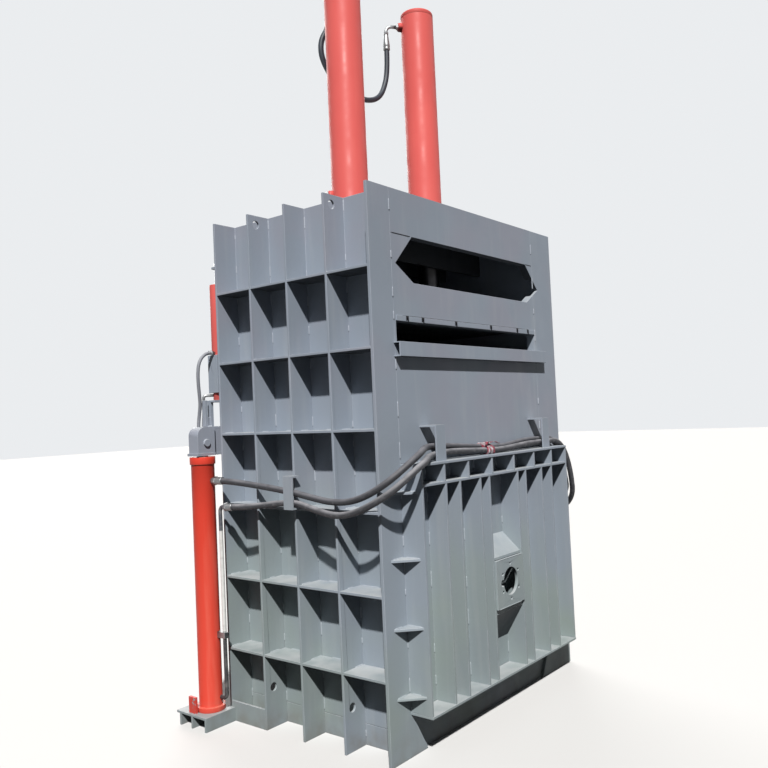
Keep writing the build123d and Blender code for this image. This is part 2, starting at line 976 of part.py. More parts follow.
# Ears: hoods over the rod ends, each with an eye in its rear face and a base flange
def ear():
    """Hood with one rounded shoulder, hollow inside and open to its base."""
    middle_x = (ear_inner + ear_outer) / 2
    with BuildPart() as hood:
        with BuildSketch(Plane.XZ.offset(-ear_back)):
            with Locations((middle_x, (ear_low + ear_high) / 2)):
                Rectangle(ear_outer - ear_inner, ear_high - ear_low)
        extrude(amount=ear_depth)
        top_edges = hood.edges().filter_by(Axis.Y).group_by(Axis.Z)[-1]
        fillet(top_edges.sort_by(Axis.X)[-1], ear_round)
        with BuildSketch(Plane.XY.offset(ear_low)):
            with Locations((middle_x + ear_lip / 2, lift_y)):
                Rectangle(ear_outer - ear_inner + ear_lip, ear_depth + ear_lip)
        extrude(amount=ear_base)
        with BuildSketch(Plane.XZ.offset(-(ear_back - ear_wall))):
            with Locations((middle_x, (ear_low + ear_base + ear_high - ear_wall) / 2)):
                cavity = Rectangle(2 * (ear_half - ear_wall), ear_height - ear_wall - ear_base)
            shoulder = cavity.vertices().group_by(Axis.Y)[-1].sort_by(Axis.X)[-1]
            fillet(shoulder, ear_round - ear_wall)
        extrude(amount=ear_depth - 2 * ear_wall, mode=Mode.SUBTRACT)
        with BuildSketch(Plane.XY.offset(ear_low)):
            with Locations((lift_x, lift_y)):
                Circle(neck_radius)
        extrude(amount=ear_base, mode=Mode.SUBTRACT)
        # the head of a cross pin stands proud of the rear face
        with BuildSketch(Plane.XZ.offset(-ear_back)):
            with Locations((middle_x, ear_pin_z)):
                Circle(ear_pin)
        extrude(amount=-ear_pin_proud)
        chamfer(hood.faces().sort_by(Axis.Y)[-1].edges(), ear_pin_chamfer)
    return hood


keep_both(ear(), "gate_ears")

# Lift rods with their pistons, necks and nuts
piston_low = foot_height + lift_bottom + lift_piston_rest
with BuildPart() as lift_rod:
    with BuildSketch(Plane.XY.offset(piston_low)):
        with Locations((lift_x, lift_y)):
            Circle(lift_radius - lift_wall - slide_gap)
    extrude(amount=lift_piston)
    with BuildSketch(Plane.XY.offset(piston_low + lift_piston)):
        with Locations((lift_x, lift_y)):
            Circle(lift_rod_radius)
    extrude(amount=ear_low - piston_low - lift_piston)
    with BuildSketch(Plane.XY.offset(ear_low)):
        with Locations((lift_x, lift_y)):
            Circle(neck_radius)
    extrude(amount=ear_base + nut_height + thread_end)
    with BuildSketch(Plane.XY.offset(ear_low + ear_base)):
        with Locations((lift_x, lift_y)):
            RegularPolygon(nut_radius, 6)
    extrude(amount=nut_height)
keep_both(lift_rod, "lift_rods")

# Stools on the arms that carry the feed door's cylinders
tie_top = ear_high + tie_height
stool_pieces = [
    slab(stool_inner, stool_inner + post_width, stool_front, stool_back, ear_high, stool_top - plate),
    slab(stool_outer - post_width, stool_outer, stool_front, stool_back, ear_high, stool_top - plate),
    slab(ear_inner, ear_inner + post_width, stool_front, stool_back, ear_high, stool_top),
    slab(stool_outer, ear_inner, stool_front + tie_inset, stool_back - tie_inset, ear_high, tie_top),
]
stool_pieces.append(slab(stool_inner, stool_outer, ear_front, arm_back, stool_top - plate, stool_top))
keep_both(set_of(stool_pieces), "door_stools")


# Feed door cylinders
def door_barrel():
    """Barrel closed at the foot, with a bored head for the rod."""
    with BuildPart() as barrel:
        with BuildSketch(Plane.XY.offset(stool_top)):
            with Locations((door_x, door_y)):
                Circle(door_radius)
        extrude(amount=door_top - stool_top)
        with BuildSketch(Plane.XY.offset(stool_top + door_foot)):
            with Locations((door_x, door_y)):
                Circle(door_radius - door_wall)
        extrude(amount=door_top - door_head - stool_top - door_foot, mode=Mode.SUBTRACT)
        with BuildSketch(Plane.XY.offset(door_top - door_head)):
            with Locations((door_x, door_y)):
                Circle(door_rod_radius + slide_gap)
        extrude(amount=door_head, mode=Mode.SUBTRACT)
    return barrel


keep_both(door_barrel(), "door_barrels")

with BuildPart() as cover_plate:
    with BuildSketch(Plane.XY.offset(cover_low)):
        with Locations((cover_x + cover_thick / 2, (cover_front + cover_back) / 2)):
            Rectangle(cover_thick, cover_back - cover_front)
        with Locations((door_x, door_y)):
            Circle(door_radius, mode=Mode.SUBTRACT)
    extrude(amount=cover_high - cover_low)
    with BuildSketch(Plane.YZ.offset(cover_x)):
        with Locations((cover_front + cover_hole_in, cover_high - cover_hole_down)):
            Circle(cover_hole)
    extrude(amount=cover_thick, mode=Mode.SUBTRACT)
keep_both(cover_plate, "cover_plates")

# Feed door: panel, bars, straps up to the lugs, and the rods
door_face = gate_face - door_gap - door_skin
door_edge = door_face - door_bar
keep(slab(-door_half, door_half, door_face, gate_face - door_gap, door_bottom, door_high), "door_panel")

bar_half = guide_x0 - guide_grip - door_gap
door_pitch = (door_high - door_bottom - plate) / door_bays
door_rows = [door_bottom + k * door_pitch for k in range(door_bays + 1)]
door_bars = [slab(-bar_half, bar_half, door_edge, door_face, z, z + plate) for z in door_rows]
door_bars += [
    slab(x - plate / 2, x + plate / 2, door_edge, door_face, z0 + plate, z1)
    for x in (-bar_half + plate / 2, -bar_half / 2, 0, bar_half / 2, bar_half - plate / 2)
    for z0, z1 in zip(door_rows, door_rows[1:])
]
keep_apart(door_bars, "door_bars")

door_straps = slab(bar_half - strap_width, bar_half, door_edge, arm_back, door_high, lug_z + lug_height)


def door_lug():
    """Bracket from a strap out over the guide to the rod, with its web."""
    with BuildPart() as lug:
        with BuildSketch(Plane.XY.offset(lug_z)):
            with Locations(((bar_half + door_x + lug_round) / 2, (door_edge + arm_back) / 2)):
                Rectangle(door_x + lug_round - bar_half, arm_back - door_edge)
            with Locations((door_x, door_y)):
                Circle(neck_small, mode=Mode.SUBTRACT)
        extrude(amount=plate)
        with BuildSketch(Plane.XZ.offset(-arm_back)):
            Polygon(
                (bar_half, lug_z + plate),
                (door_x - lug_round, lug_z + plate),
                (door_x - lug_round, lug_z + 2 * plate),
                (bar_half, lug_z + lug_height),
                align=None,
            )
        extrude(amount=plate)
    return lug


keep_both(set_of([door_straps, door_lug()]), "door_lugs")

door_piston_low = stool_top + door_foot + door_piston_rest
with BuildPart() as door_rod:
    with BuildSketch(Plane.XY.offset(door_piston_low)):
        with Locations((door_x, door_y)):
            Circle(door_radius - door_wall - slide_gap)
    extrude(amount=door_piston)
    with BuildSketch(Plane.XY.offset(door_piston_low + door_piston)):
        with Locations((door_x, door_y)):
            Circle(door_rod_radius)
    extrude(amount=lug_z - door_piston_low - door_piston)
    with BuildSketch(Plane.XY.offset(lug_z)):
        with Locations((door_x, door_y)):
            Circle(neck_small)
    extrude(amount=plate + nut_height)
    with BuildSketch(Plane.XY.offset(lug_z + plate)):
        with Locations((door_x, door_y)):
            RegularPolygon(nut_small, 6)
    extrude(amount=nut_small_height)
keep_both(door_rod, "door_rods")


# Fittings: ports, pipes and elbows of the lift and door cylinders
def cut_barrel(piece, x, y, radius, z):
    """The piece without what lies inside an upright barrel near a height."""
    with BuildPart() as trimmed:
        add(piece.part)
        with BuildSketch(Plane.XY.offset(z - radius)):
            with Locations((x, y)):
                Circle(radius)
        extrude(amount=2 * radius, mode=Mode.SUBTRACT)
    return trimmed


def lift_port():
    """Upper port of a lift cylinder, its nut and stub pointing to the rear."""
    start = lift_y + lift_radius - sunk
    with BuildPart() as stub:
        with BuildSketch(Plane.XZ.offset(-start)):
            with Locations((lift_port_x, lift_port_z)):
                Circle(lift_port_radius)
        extrude(amount=start - lift_port_end)
        with BuildSketch(Plane.XZ.offset(-(lift_port_end - nut_length))):
            with Locations((lift_port_x, lift_port_z)):
                RegularPolygon(nut_across, 6)
        extrude(amount=-nut_length)
    return cut_barrel(stub, lift_x, lift_y, lift_radius, lift_port_z)


def bent_pipe(points, radius, bend):
    """A steel pipe along straight runs joined by equal bends."""
    start = Vector(points[0])
    with BuildPart() as pipe:
        with BuildLine():
            FilletPolyline(*points, radius=bend)
        with BuildSketch(Plane(origin=start, z_dir=Vector(points[1]) - start)):
            Circle(radius)
        sweep()
    return pipe


lift_pipe_points = [
    (pipe_x, lift_y + lift_radius - sunk, pipe_low),
    (pipe_x, pipe_y, pipe_low),
    (pipe_x, pipe_y, pipe_high),
    (pipe_x, pipe_end, pipe_high),
]
lift_pipe = bent_pipe(lift_pipe_points, pipe_radius, pipe_bend)
keep_both(cut_barrel(lift_pipe, lift_x, lift_y, lift_radius, pipe_low), "lift_pipes")

with BuildPart() as pipe_clamp:
    with BuildSketch(Plane.XY.offset(clamp_z)):
        with Locations((pipe_x, (pipe_y + lift_y + lift_radius) / 2)):
            Rectangle(clamp_width, pipe_y - lift_y - lift_radius + 3 * pipe_radius)
        with Locations((pipe_x, pipe_y)):
            Circle(pipe_radius, mode=Mode.SUBTRACT)
        with Locations((lift_x, lift_y)):
            Circle(lift_radius, mode=Mode.SUBTRACT)
    extrude(amount=clamp_height)

# Door cylinder elbows, and the manifold on the arm where their hoses end
outward = Vector(elbow_x - door_x, elbow_y - door_y, 0).normalized() * (door_radius - sunk)
low_elbow_points = [
    (door_x + outward.X, door_y + outward.Y, elbow_z),
    (elbow_x, elbow_y, elbow_z),
    (elbow_x, elbow_y, elbow_end),
]
low_elbow = bent_pipe(low_elbow_points, elbow_radius, elbow_bend)
low_elbow = cut_barrel(low_elbow, door_x, door_y, door_radius, elbow_z)
with BuildPart() as top_stub:
    with BuildSketch(Plane.YZ.offset(door_x + door_radius - sunk)):
        with Locations((top_port_y, top_port_z)):
            Circle(elbow_radius)
    extrude(amount=top_port_end - door_x - door_radius + sunk)
top_elbow = cut_barrel(top_stub, door_x, door_y, door_radius, top_port_z)
manifold_front = ear_front - manifold_reach
manifold = slab(manifold_x0, manifold_x1, manifold_front, ear_front, manifold_low, manifold_high)
keep_both(set_of([low_elbow, top_elbow, manifold]), "door_fittings")
keep_both(set_of([lift_port(), pipe_clamp]), "lift_fittings")


# Brackets that hold the two long hoses to the walls
def hose_bracket(x):
    """A shelf out of the rear wall with a flat strip hanging from its edge."""
    with BuildPart() as bracket:
        with BuildSketch(Plane.YZ.offset(x - bracket_width / 2)):
            Polygon(
                (rear_y, bracket_top),
                (bracket_face, bracket_top),
                (bracket_face, panel_top),
                (bracket_face - bracket_thick, panel_top),
                (bracket_face - bracket_thick, bracket_top - bracket_thick),
                (rear_y, bracket_top - bracket_thick),
                align=None,
            )
        extrude(amount=bracket_width)
    return bracket


def hose_strap(side, rib, shift, below, above):
    """A flat channel over both hoses, its two legs on the tip of a side rib."""
    back = rib_starts[rib] + plate / 2 + shift + strap_wide / 2
    middle = lift_port_z + (below + above) / 2
    tall = above - below
    with BuildPart() as strap:
        with BuildSketch(Plane.XZ.offset(-back)):
            with Locations((side * (half_width + strap_reach / 2), middle)):
                Rectangle(strap_reach, tall)
            with Locations((side * (half_width + (strap_reach - bracket_thick) / 2), middle)):
                Rectangle(strap_reach - bracket_thick, tall - 2 * bracket_thick, mode=Mode.SUBTRACT)
        extrude(amount=strap_wide)
    return strap


brackets = [hose_bracket(x) for x in bracket_places]
brackets += [hose_strap(*place) for place in strap_places]
keep(set_of(brackets), "hose_brackets")


# Hoses: straight runs joined by the widest arcs that the runs allow
def hose(points, radius, name):
    """Sweep one hose and print its tightest arc, its length and its volume ratio."""
    spots = [Vector(point) for point in points]
    runs = [after - before for before, after in zip(spots, spots[1:])]
    radii = []
    for before, after in zip(runs, runs[1:]):
        half_turn = radians(before.get_angle(after)) / 2
        radii.append(0.45 * min(before.length, after.length) / tan(half_turn))
    with BuildPart() as piece:
        with BuildLine() as route:
            FilletPolyline(*points, radius=radii)
        with BuildSketch(Plane(origin=spots[0], z_dir=runs[0])):
            Circle(radius)
        sweep()
    length = sum(edge.length for edge in route.edges())
    ratio = piece.part.volume / (pi * radius**2 * length)
    print(f"{name}: tightest arc {min(radii):.0f}, length {length:.0f}, volume ratio {ratio:.4f}")
    print("  arcs", ", ".join(f"{r:.0f}" for r in radii))
    keep(piece, name)


hose([
    (lift_port_x, lift_port_end, lift_port_z),
    (lift_port_x, lift_port_end + 96, lift_port_z),
    (half_width + 39, front_y + 260, lift_port_z - 17),
    (half_width + 22, front_y + 405, lift_port_z - 35),
    (half_width + 21, rear_y - 530, lift_port_z - 51),
    (half_width + 21, rear_y - 405, lift_port_z - 72),
    (half_width + 23, rear_y - 280, lift_port_z - 90),
    (half_width + 31, rear_y - 160, lift_port_z - 86),
    (half_width + 48, rear_y - 37, lift_port_z - 53),
    (half_width + 18, rear_y + 67, panel_top - 65),
    (half_width - 63, rear_y + 121, panel_top + 7),
    (half_width - 170, rear_y + 116, panel_top + 54),
    (590, rear_y + 53, panel_top + 69),
    (465, rear_y + 32, panel_top + 66),
    (330, rear_y + 28, panel_top + 58),
    (190, rear_y + 28, panel_top + 47),
    (60, rear_y + 28, panel_top + 37),
    (-80, rear_y + 28, panel_top + 29),
    (-220, rear_y + 28, panel_top + 33),
    (-360, rear_y + 28, panel_top + 47),
    (-490, rear_y + 28, panel_top + 49),
    (-600, rear_y + 28, panel_top + 46),
    (-700, rear_y + 28, panel_top + 48),
    (-half_width + 90, rear_y + 31, panel_top),
    (-half_width + 47, rear_y + 36, panel_top - 90),
    (-half_width + 30, rear_y + 42, panel_top - 190),
    (-half_width - 15, rear_y + 31, panel_top - 281),
    (-half_width - 44, rear_y - 49, lift_port_z - 276),
    (-half_width - 39, rear_y - 163, lift_port_z - 289),
    (-half_width - 34, rear_y - 270, lift_port_z - 259),
    (-half_width - 27, rear_y - 368, lift_port_z - 196),
    (-half_width - 22, rear_y - 460, lift_port_z - 129),
    (-half_width - 21, front_y + 515, lift_port_z - 74),
    (-half_width - 21, front_y + 385, lift_port_z - 34),
    (-half_width - 23, front_y + 240, lift_port_z - 14),
    (-lift_port_x, lift_port_end + 96, lift_port_z),
    (-lift_port_x, lift_port_end, lift_port_z),
], hose_radius, "hose_upper")

hose([
    (pipe_x, pipe_end, pipe_high),
    (pipe_x, pipe_end + 90, pipe_high),
    (half_width + 35, front_y + 320, pipe_high + 10),
    (half_width + 21, front_y + 455, pipe_high + 27),
    (half_width + 21, rear_y - 495, pipe_high + 32),
    (half_width + 22, rear_y - 375, pipe_high + 3),
    (half_width + 27, rear_y - 250, pipe_high - 19),
    (half_width + 37, rear_y - 130, pipe_high - 2),
    (half_width + 57, rear_y - 10, pipe_high + 42),
    (half_width + 37, rear_y + 105, panel_top - 102),
    (half_width - 30, rear_y + 167, panel_top - 27),
    (half_width - 135, rear_y + 169, panel_top + 19),
    (642, rear_y + 99, panel_top + 23),
    (545, rear_y + 60, panel_top + 28),
    (430, rear_y + 62, panel_top + 37),
    (300, rear_y + 62, panel_top + 32),
    (170, rear_y + 62, panel_top + 25),
    (40, rear_y + 62, panel_top + 19),
    (-90, rear_y + 62, panel_top + 17),
    (-220, rear_y + 62, panel_top + 23),
    (-350, rear_y + 62, panel_top + 30),
    (-470, rear_y + 62, panel_top + 32),
    (-590, rear_y + 62, panel_top + 30),
    (-700, rear_y + 63, panel_top + 36),
    (-half_width + 85, rear_y + 67, panel_top - 13),
    (-half_width + 37, rear_y + 73, panel_top - 106),
    (-half_width + 17, rear_y + 79, panel_top - 210),
    (-half_width - 30, rear_y + 60, panel_top - 310),
    (-half_width - 70, rear_y - 13, pipe_high - 181),
    (-half_width - 80, rear_y - 120, pipe_high - 218),
    (-half_width - 73, rear_y - 235, pipe_high - 214),
    (-half_width - 60, rear_y - 345, pipe_high - 181),
    (-half_width - 43, rear_y - 450, pipe_high - 131),
    (-half_width - 30, front_y + 515, pipe_high - 76),
    (-half_width - 22, front_y + 375, pipe_high - 24),
    (-half_width - 22, front_y + 247, pipe_high - 5),
    (-pipe_x, pipe_end + 90, pipe_high),
    (-pipe_x, pipe_end, pipe_high),
], hose_radius, "hose_lower")


# The hose that joins the upper ports of the two main cylinders
def port_end(x, angle, reach):
    """Middle of the lower face of a bent port."""
    along = barrel_radius - sunk + reach - port_radius
    return (x + along * cos(radians(angle)), ram_y + along * sin(radians(angle)), port_z - port_drop)


far_end = port_end(-ram_x, far_port_angle, far_port_reach)
near_end = port_end(ram_x, near_port_angle, near_port_reach)
hose([
    far_end,
    (far_end[0], far_end[1], port_z - 226),
    (168 - ram_x, ram_y - 130, port_z - 346),
    (227 - ram_x, ram_y - 137, port_z - 462),
    (5, ram_y - 143, port_z - 514),
    (ram_x - 219, ram_y - 149, port_z - 500),
    (ram_x - 110, ram_y - 156, port_z - 485),
    (ram_x - 25, ram_y - 154, port_z - 413),
    (ram_x + 5, ram_y - 152, port_z - 341),
    (ram_x - 1, ram_y - 143, port_z - 263),
    (near_end[0], near_end[1], port_z - 199),
    near_end,
], main_hose_radius, "hose_main")

# Hoses of the feed door's cylinders
door_hose_top = [
    (top_port_end, top_port_y, top_port_z),
    (top_port_end + 26, top_port_y, top_port_z),
    (lift_x - 34, top_port_y, top_port_z - 11),
    (lift_x - 11, lift_y + 1, top_port_z - 33),
    (lift_x + 3, lift_y - 1, top_port_z - 65),
    (lift_x + 7, lift_y - 4, top_port_z - 108),
    (lift_x + 3, lift_y - 9, top_port_z - 160),
    (lift_x - 8, lift_y - 17, top_port_z - 219),
    (lift_x - 22, lift_y - 30, manifold_high + 190),
    (lift_x - 28, lift_y - 52, manifold_high + 125),
    (lift_x - 28, lift_y - 61, manifold_high + 65),
    (lift_x - 28, lift_y - 61, manifold_high),
]
door_hose_low = [
    (elbow_x, elbow_y, elbow_end),
    (elbow_x, elbow_y, elbow_end - 62),
    (elbow_x + 6, elbow_y - 4, manifold_high + 70),
    (elbow_x + 6, elbow_y - 4, manifold_high),
]
for side, label in ((1, "near"), (-1, "far")):
    hose([(side * x, y, z) for x, y, z in door_hose_top], door_hose_radius, f"door_hose_top_{label}")
    hose([(side * x, y, z) for x, y, z in door_hose_low], door_hose_radius, f"door_hose_low_{label}")
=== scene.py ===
# %% [markdown]
# # A vertical baling press, dressed for its photograph
#
# The object is a tall ribbed steel box with two red cylinders on top, a front
# gate that two more cylinders lift, and hoses that run round the back. Its
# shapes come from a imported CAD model, which this script loads as a fixed frame.
# Blender adds what CAD leaves out: paint, dust, weld beads, hoses that hang in
# smooth curves, and light. Everything is in metres, with the floor at z = 0, the
# rear wall towards +y and the near side wall towards +x.

# %% Load the frame
import json
import random
from math import cos, pi, radians, sin, tau

import bmesh
import bpy
from mathutils import Matrix, Vector


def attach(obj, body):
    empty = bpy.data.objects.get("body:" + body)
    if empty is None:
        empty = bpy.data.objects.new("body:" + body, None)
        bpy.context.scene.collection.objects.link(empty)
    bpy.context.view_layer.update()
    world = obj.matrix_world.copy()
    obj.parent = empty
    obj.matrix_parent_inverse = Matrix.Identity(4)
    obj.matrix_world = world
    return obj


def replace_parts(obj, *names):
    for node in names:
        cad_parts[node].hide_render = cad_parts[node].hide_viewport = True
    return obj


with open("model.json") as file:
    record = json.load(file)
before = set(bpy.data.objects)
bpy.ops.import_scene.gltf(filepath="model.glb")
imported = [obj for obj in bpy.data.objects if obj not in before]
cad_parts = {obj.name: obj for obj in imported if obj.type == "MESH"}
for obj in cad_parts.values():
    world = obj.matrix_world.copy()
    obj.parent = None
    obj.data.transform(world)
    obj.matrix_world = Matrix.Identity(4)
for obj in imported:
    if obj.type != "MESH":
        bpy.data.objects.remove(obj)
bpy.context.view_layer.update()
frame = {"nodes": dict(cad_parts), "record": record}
cad = frame["nodes"]
for solid in cad.values():
    solid.data.materials.clear()
for plain in list(bpy.data.materials):
    bpy.data.materials.remove(plain)

# %% [markdown]
# ## The camera
#
# The photograph was taken at eye height near the rear corner, looking slightly
# up. A camera can be nudged by hand until the picture fits. Here its place, its
# three angles (in radians) and its focal length were solved from straight edges
# of the box, so what still differs is a fault of the shapes. A camera looks along
# its own -Z, so its matrix is built from three directions: right, up and back.

# %% Camera
eye = Vector((3.5725, 2.7609, 1.55))
heading = 0.8925
rise = 0.0377
roll = -0.0448
photo_width = 768
focal_pixels = 789.45
sensor = 36.0
farthest = 200


def add_object(name, data):
    """A new object, linked into the scene."""
    made = bpy.data.objects.new(name, data)
    bpy.context.scene.collection.objects.link(made)
    return made


ahead = Vector((-sin(heading) * cos(rise), -cos(heading) * cos(rise), sin(rise)))
level = ahead.cross(Vector((0, 0, 1))).normalized()
upright = level.cross(ahead)
right = level * cos(roll) + upright * sin(roll)
up = upright * cos(roll) - level * sin(roll)

camera_data = bpy.data.cameras.new("photo_camera")
camera_data.sensor_width = sensor
camera_data.lens = focal_pixels * sensor / photo_width
camera_data.clip_end = farthest
camera = add_object("photo_camera", camera_data)
camera.matrix_world = Matrix.Translation(eye) @ Matrix((right, up, -ahead)).transposed().to_4x4()
bpy.context.scene.camera = camera
print("lens:", round(camera_data.lens, 2), "mm")

# %% [markdown]
# ## Helpers for node trees
#
# Paint and rubber could come from pictures, but a picture needs unwrapping and
# blurs close up. Every finish here is a tree of nodes instead, which works in
# real metres on any shape. The last helper below tells rays apart: the camera and
# reflections may see one colour, while the light that bounces gets another.


# %% Node helpers
def new_material(name):
    """A node material, its tree and its shader."""
    material = bpy.data.materials.new(name)
    material.use_nodes = True
    return material, material.node_tree, material.node_tree.nodes["Principled BSDF"]


def add_node(tree, kind, **settings):
    """One shader node; settings are its properties."""
    node = tree.nodes.new(kind)
    for key, value in settings.items():
        setattr(node, key, value)
    return node


def mix_colour(tree, factor, first, second):
    """A colour mix; each input is a socket, a number or a plain colour."""
    mix = add_node(tree, "ShaderNodeMix", data_type="RGBA")
    for socket, value in ((mix.inputs[0], factor), (mix.inputs[6], first), (mix.inputs[7], second)):
        if isinstance(value, bpy.types.NodeSocket):
            tree.links.new(value, socket)
        elif isinstance(value, (int, float)):
            socket.default_value = value
        else:
            socket.default_value = (*value, 1)
    return mix.outputs[2]


def seen_directly(tree):
    """White for camera, glossy and transmission rays, black for light that bounces."""
    path = add_node(tree, "ShaderNodeLightPath")
    either = add_node(tree, "ShaderNodeMath", operation="MAXIMUM")
    any_of = add_node(tree, "ShaderNodeMath", operation="MAXIMUM")
    tree.links.new(path.outputs["Is Camera Ray"], either.inputs[0])
    tree.links.new(path.outputs["Is Glossy Ray"], either.inputs[1])
    tree.links.new(either.outputs[0], any_of.inputs[0])
    tree.links.new(path.outputs["Is Transmission Ray"], any_of.inputs[1])
    return any_of.outputs[0]


# %% [markdown]
# ## The floor
#
# The press stands on flat ground. A plain pale plane takes its shadow and keeps
# the eye on the object.


# %% Floor
def make_floor(half_width, seen, bounced):
    """A wide pale floor that throws back less light than it seems to."""
    mesh = bpy.data.meshes.new("floor")
    shape = bmesh.new()
    bmesh.ops.create_grid(shape, x_segments=8, y_segments=8, size=half_width)
    shape.to_mesh(mesh)
    shape.free()
    floor = add_object("floor", mesh)
    material, tree, shader = new_material("studio_floor")
    shade = mix_colour(tree, seen_directly(tree), (bounced, bounced, bounced), (seen, seen, seen))
    tree.links.new(shade, shader.inputs["Base Color"])
    shader.inputs["Roughness"].default_value = 0.9
    shader.inputs["Specular IOR Level"].default_value = 0.1
    mesh.materials.append(material)
    print("floor:", 2 * half_width, "m wide")


make_floor(half_width=40, seen=0.62, bounced=0.06)

# %% [markdown]
# ## The sky
#
# Open sky fills the shadows with weak, bluish light. An environment picture could
# do that, but it would also bring its own scenery. Two background shaders are
# enough: a faint one lights the object, and the camera sees a pale one.


# %% World
def background(tree, colour, strength):
    """A background shader of one colour."""
    node = add_node(tree, "ShaderNodeBackground")
    node.inputs["Color"].default_value = (*colour, 1)
    node.inputs["Strength"].default_value = strength
    return node.outputs[0]


def make_world(fill, seen):
    """A world that lights with one strength and is seen with another."""
    world = bpy.data.worlds.new("studio")
    world.use_nodes = True
    bpy.context.scene.world = world
    tree = world.node_tree
    tree.nodes.clear()
    mix = add_node(tree, "ShaderNodeMixShader")
    output = add_node(tree, "ShaderNodeOutputWorld")
    tree.links.new(seen_directly(tree), mix.inputs[0])
    tree.links.new(background(tree, (0.93, 0.96, 1.0), fill), mix.inputs[1])
    tree.links.new(background(tree, (0.90, 0.92, 0.94), seen), mix.inputs[2])
    tree.links.new(mix.outputs[0], output.inputs["Surface"])
    print("world:", world.name, "fill", fill)


make_world(fill=0.045, seen=0.92)

# %% [markdown]
# ## Sunlight
#
# The sun stands high on the camera's right and draws slanted shadows in the bays.
# A lamp close by would fan its shadows out, so a sun lamp is used, whose rays run
# parallel; its direction was found from the shadows' corners. A second sun, very
# broad and weak, lights the sides that the camera doesn't see.


# %% Suns
def make_sun(name, towards, strength, softness):
    """A sun lamp that shines from the given direction; softness is in degrees."""
    data = bpy.data.lights.new(name, "SUN")
    data.energy = strength
    data.angle = radians(softness)
    data.color = (1.0, 0.98, 0.95)
    sun = add_object(name, data)
    sun.rotation_mode = "QUATERNION"
    sun.rotation_quaternion = Vector(towards).to_track_quat("Z", "Y")
    print(name, "strength:", strength)


make_sun("key", towards=(0.735, 0.62, 1.0), strength=5.7, softness=1.5)
make_sun("back_fill", towards=(-0.62, -0.78, 0.45), strength=2.0, softness=50)
bpy.context.scene.view_settings.view_transform = "Standard"

# %% [markdown]
# ## Routes of the long hoses
#
# Two long hydraulic hoses join the lift cylinders. They run back along the near
# side, round the rear wall over the strapping panel, and forward along the far
# side. A rope simulation could drop such a hose, but brackets hold these two, and
# they must lie where the photograph shows them. So each route is a list of points,
# given one by one.

# %% Routes of the two long hoses
upper_route = [
    (0.948, -0.506, 1.244), (0.948, -0.410, 1.244), (0.914, -0.275, 1.227), (0.897, -0.130, 1.209),
    (0.896, 0.005, 1.193), (0.896, 0.130, 1.172), (0.898, 0.255, 1.154), (0.906, 0.375, 1.158),
    (0.923, 0.498, 1.191), (0.893, 0.602, 1.253), (0.812, 0.656, 1.325), (0.705, 0.651, 1.372),
    (0.590, 0.588, 1.387), (0.465, 0.567, 1.384), (0.330, 0.563, 1.376), (0.190, 0.563, 1.365),
    (0.060, 0.563, 1.355), (-0.080, 0.563, 1.347), (-0.220, 0.563, 1.351), (-0.360, 0.563, 1.365),
    (-0.490, 0.563, 1.367), (-0.600, 0.563, 1.364), (-0.700, 0.563, 1.366), (-0.785, 0.566, 1.318),
    (-0.828, 0.571, 1.228), (-0.845, 0.577, 1.128), (-0.890, 0.566, 1.037), (-0.919, 0.486, 0.968),
    (-0.914, 0.372, 0.955), (-0.909, 0.265, 0.985), (-0.902, 0.167, 1.048), (-0.897, 0.075, 1.115),
    (-0.896, -0.020, 1.170), (-0.896, -0.150, 1.210), (-0.898, -0.295, 1.230), (-0.948, -0.410, 1.244),
    (-0.948, -0.506, 1.244),
]
lower_route = [
    (0.936, -0.440, 1.111), (0.936, -0.350, 1.111), (0.910, -0.215, 1.121), (0.896, -0.080, 1.138),
    (0.896, 0.040, 1.143), (0.912, 0.172, 1.116), (0.942, 0.322, 1.098), (0.957, 0.447, 1.116),
    (0.963, 0.555, 1.158), (0.924, 0.652, 1.218), (0.845, 0.702, 1.291), (0.740, 0.704, 1.337),
    (0.642, 0.634, 1.341), (0.545, 0.595, 1.346), (0.430, 0.597, 1.355), (0.300, 0.597, 1.350),
    (0.170, 0.597, 1.343), (0.040, 0.597, 1.337), (-0.090, 0.597, 1.335), (-0.220, 0.597, 1.341),
    (-0.350, 0.597, 1.348), (-0.470, 0.597, 1.350), (-0.590, 0.597, 1.348), (-0.700, 0.598, 1.354),
    (-0.790, 0.602, 1.305), (-0.838, 0.608, 1.212), (-0.858, 0.614, 1.108), (-0.905, 0.595, 1.008),
    (-0.945, 0.522, 0.930), (-0.955, 0.415, 0.893), (-0.948, 0.300, 0.897), (-0.935, 0.190, 0.930),
    (-0.918, 0.085, 0.980), (-0.905, -0.020, 1.035), (-0.897, -0.160, 1.087), (-0.897, -0.288, 1.106),
    (-0.936, -0.350, 1.111), (-0.936, -0.440, 1.111),
]


def run_of(points):
    """Length of the straight lines between the points."""
    return sum((Vector(after) - Vector(before)).length for before, after in zip(points, points[1:]))


print("long routes:", round(run_of(upper_route), 3), round(run_of(lower_route), 3), "m")

# %% [markdown]
# ## Routes of the short hoses
#
# One hose hangs in a loop between the upper ports of the main cylinders. On each
# side of the gate a supply hose drops from the feed door's cylinder to the oil
# block on the gate's arm, with a short return hose beside it. Only the near side
# is written down: the far side is its mirror image.

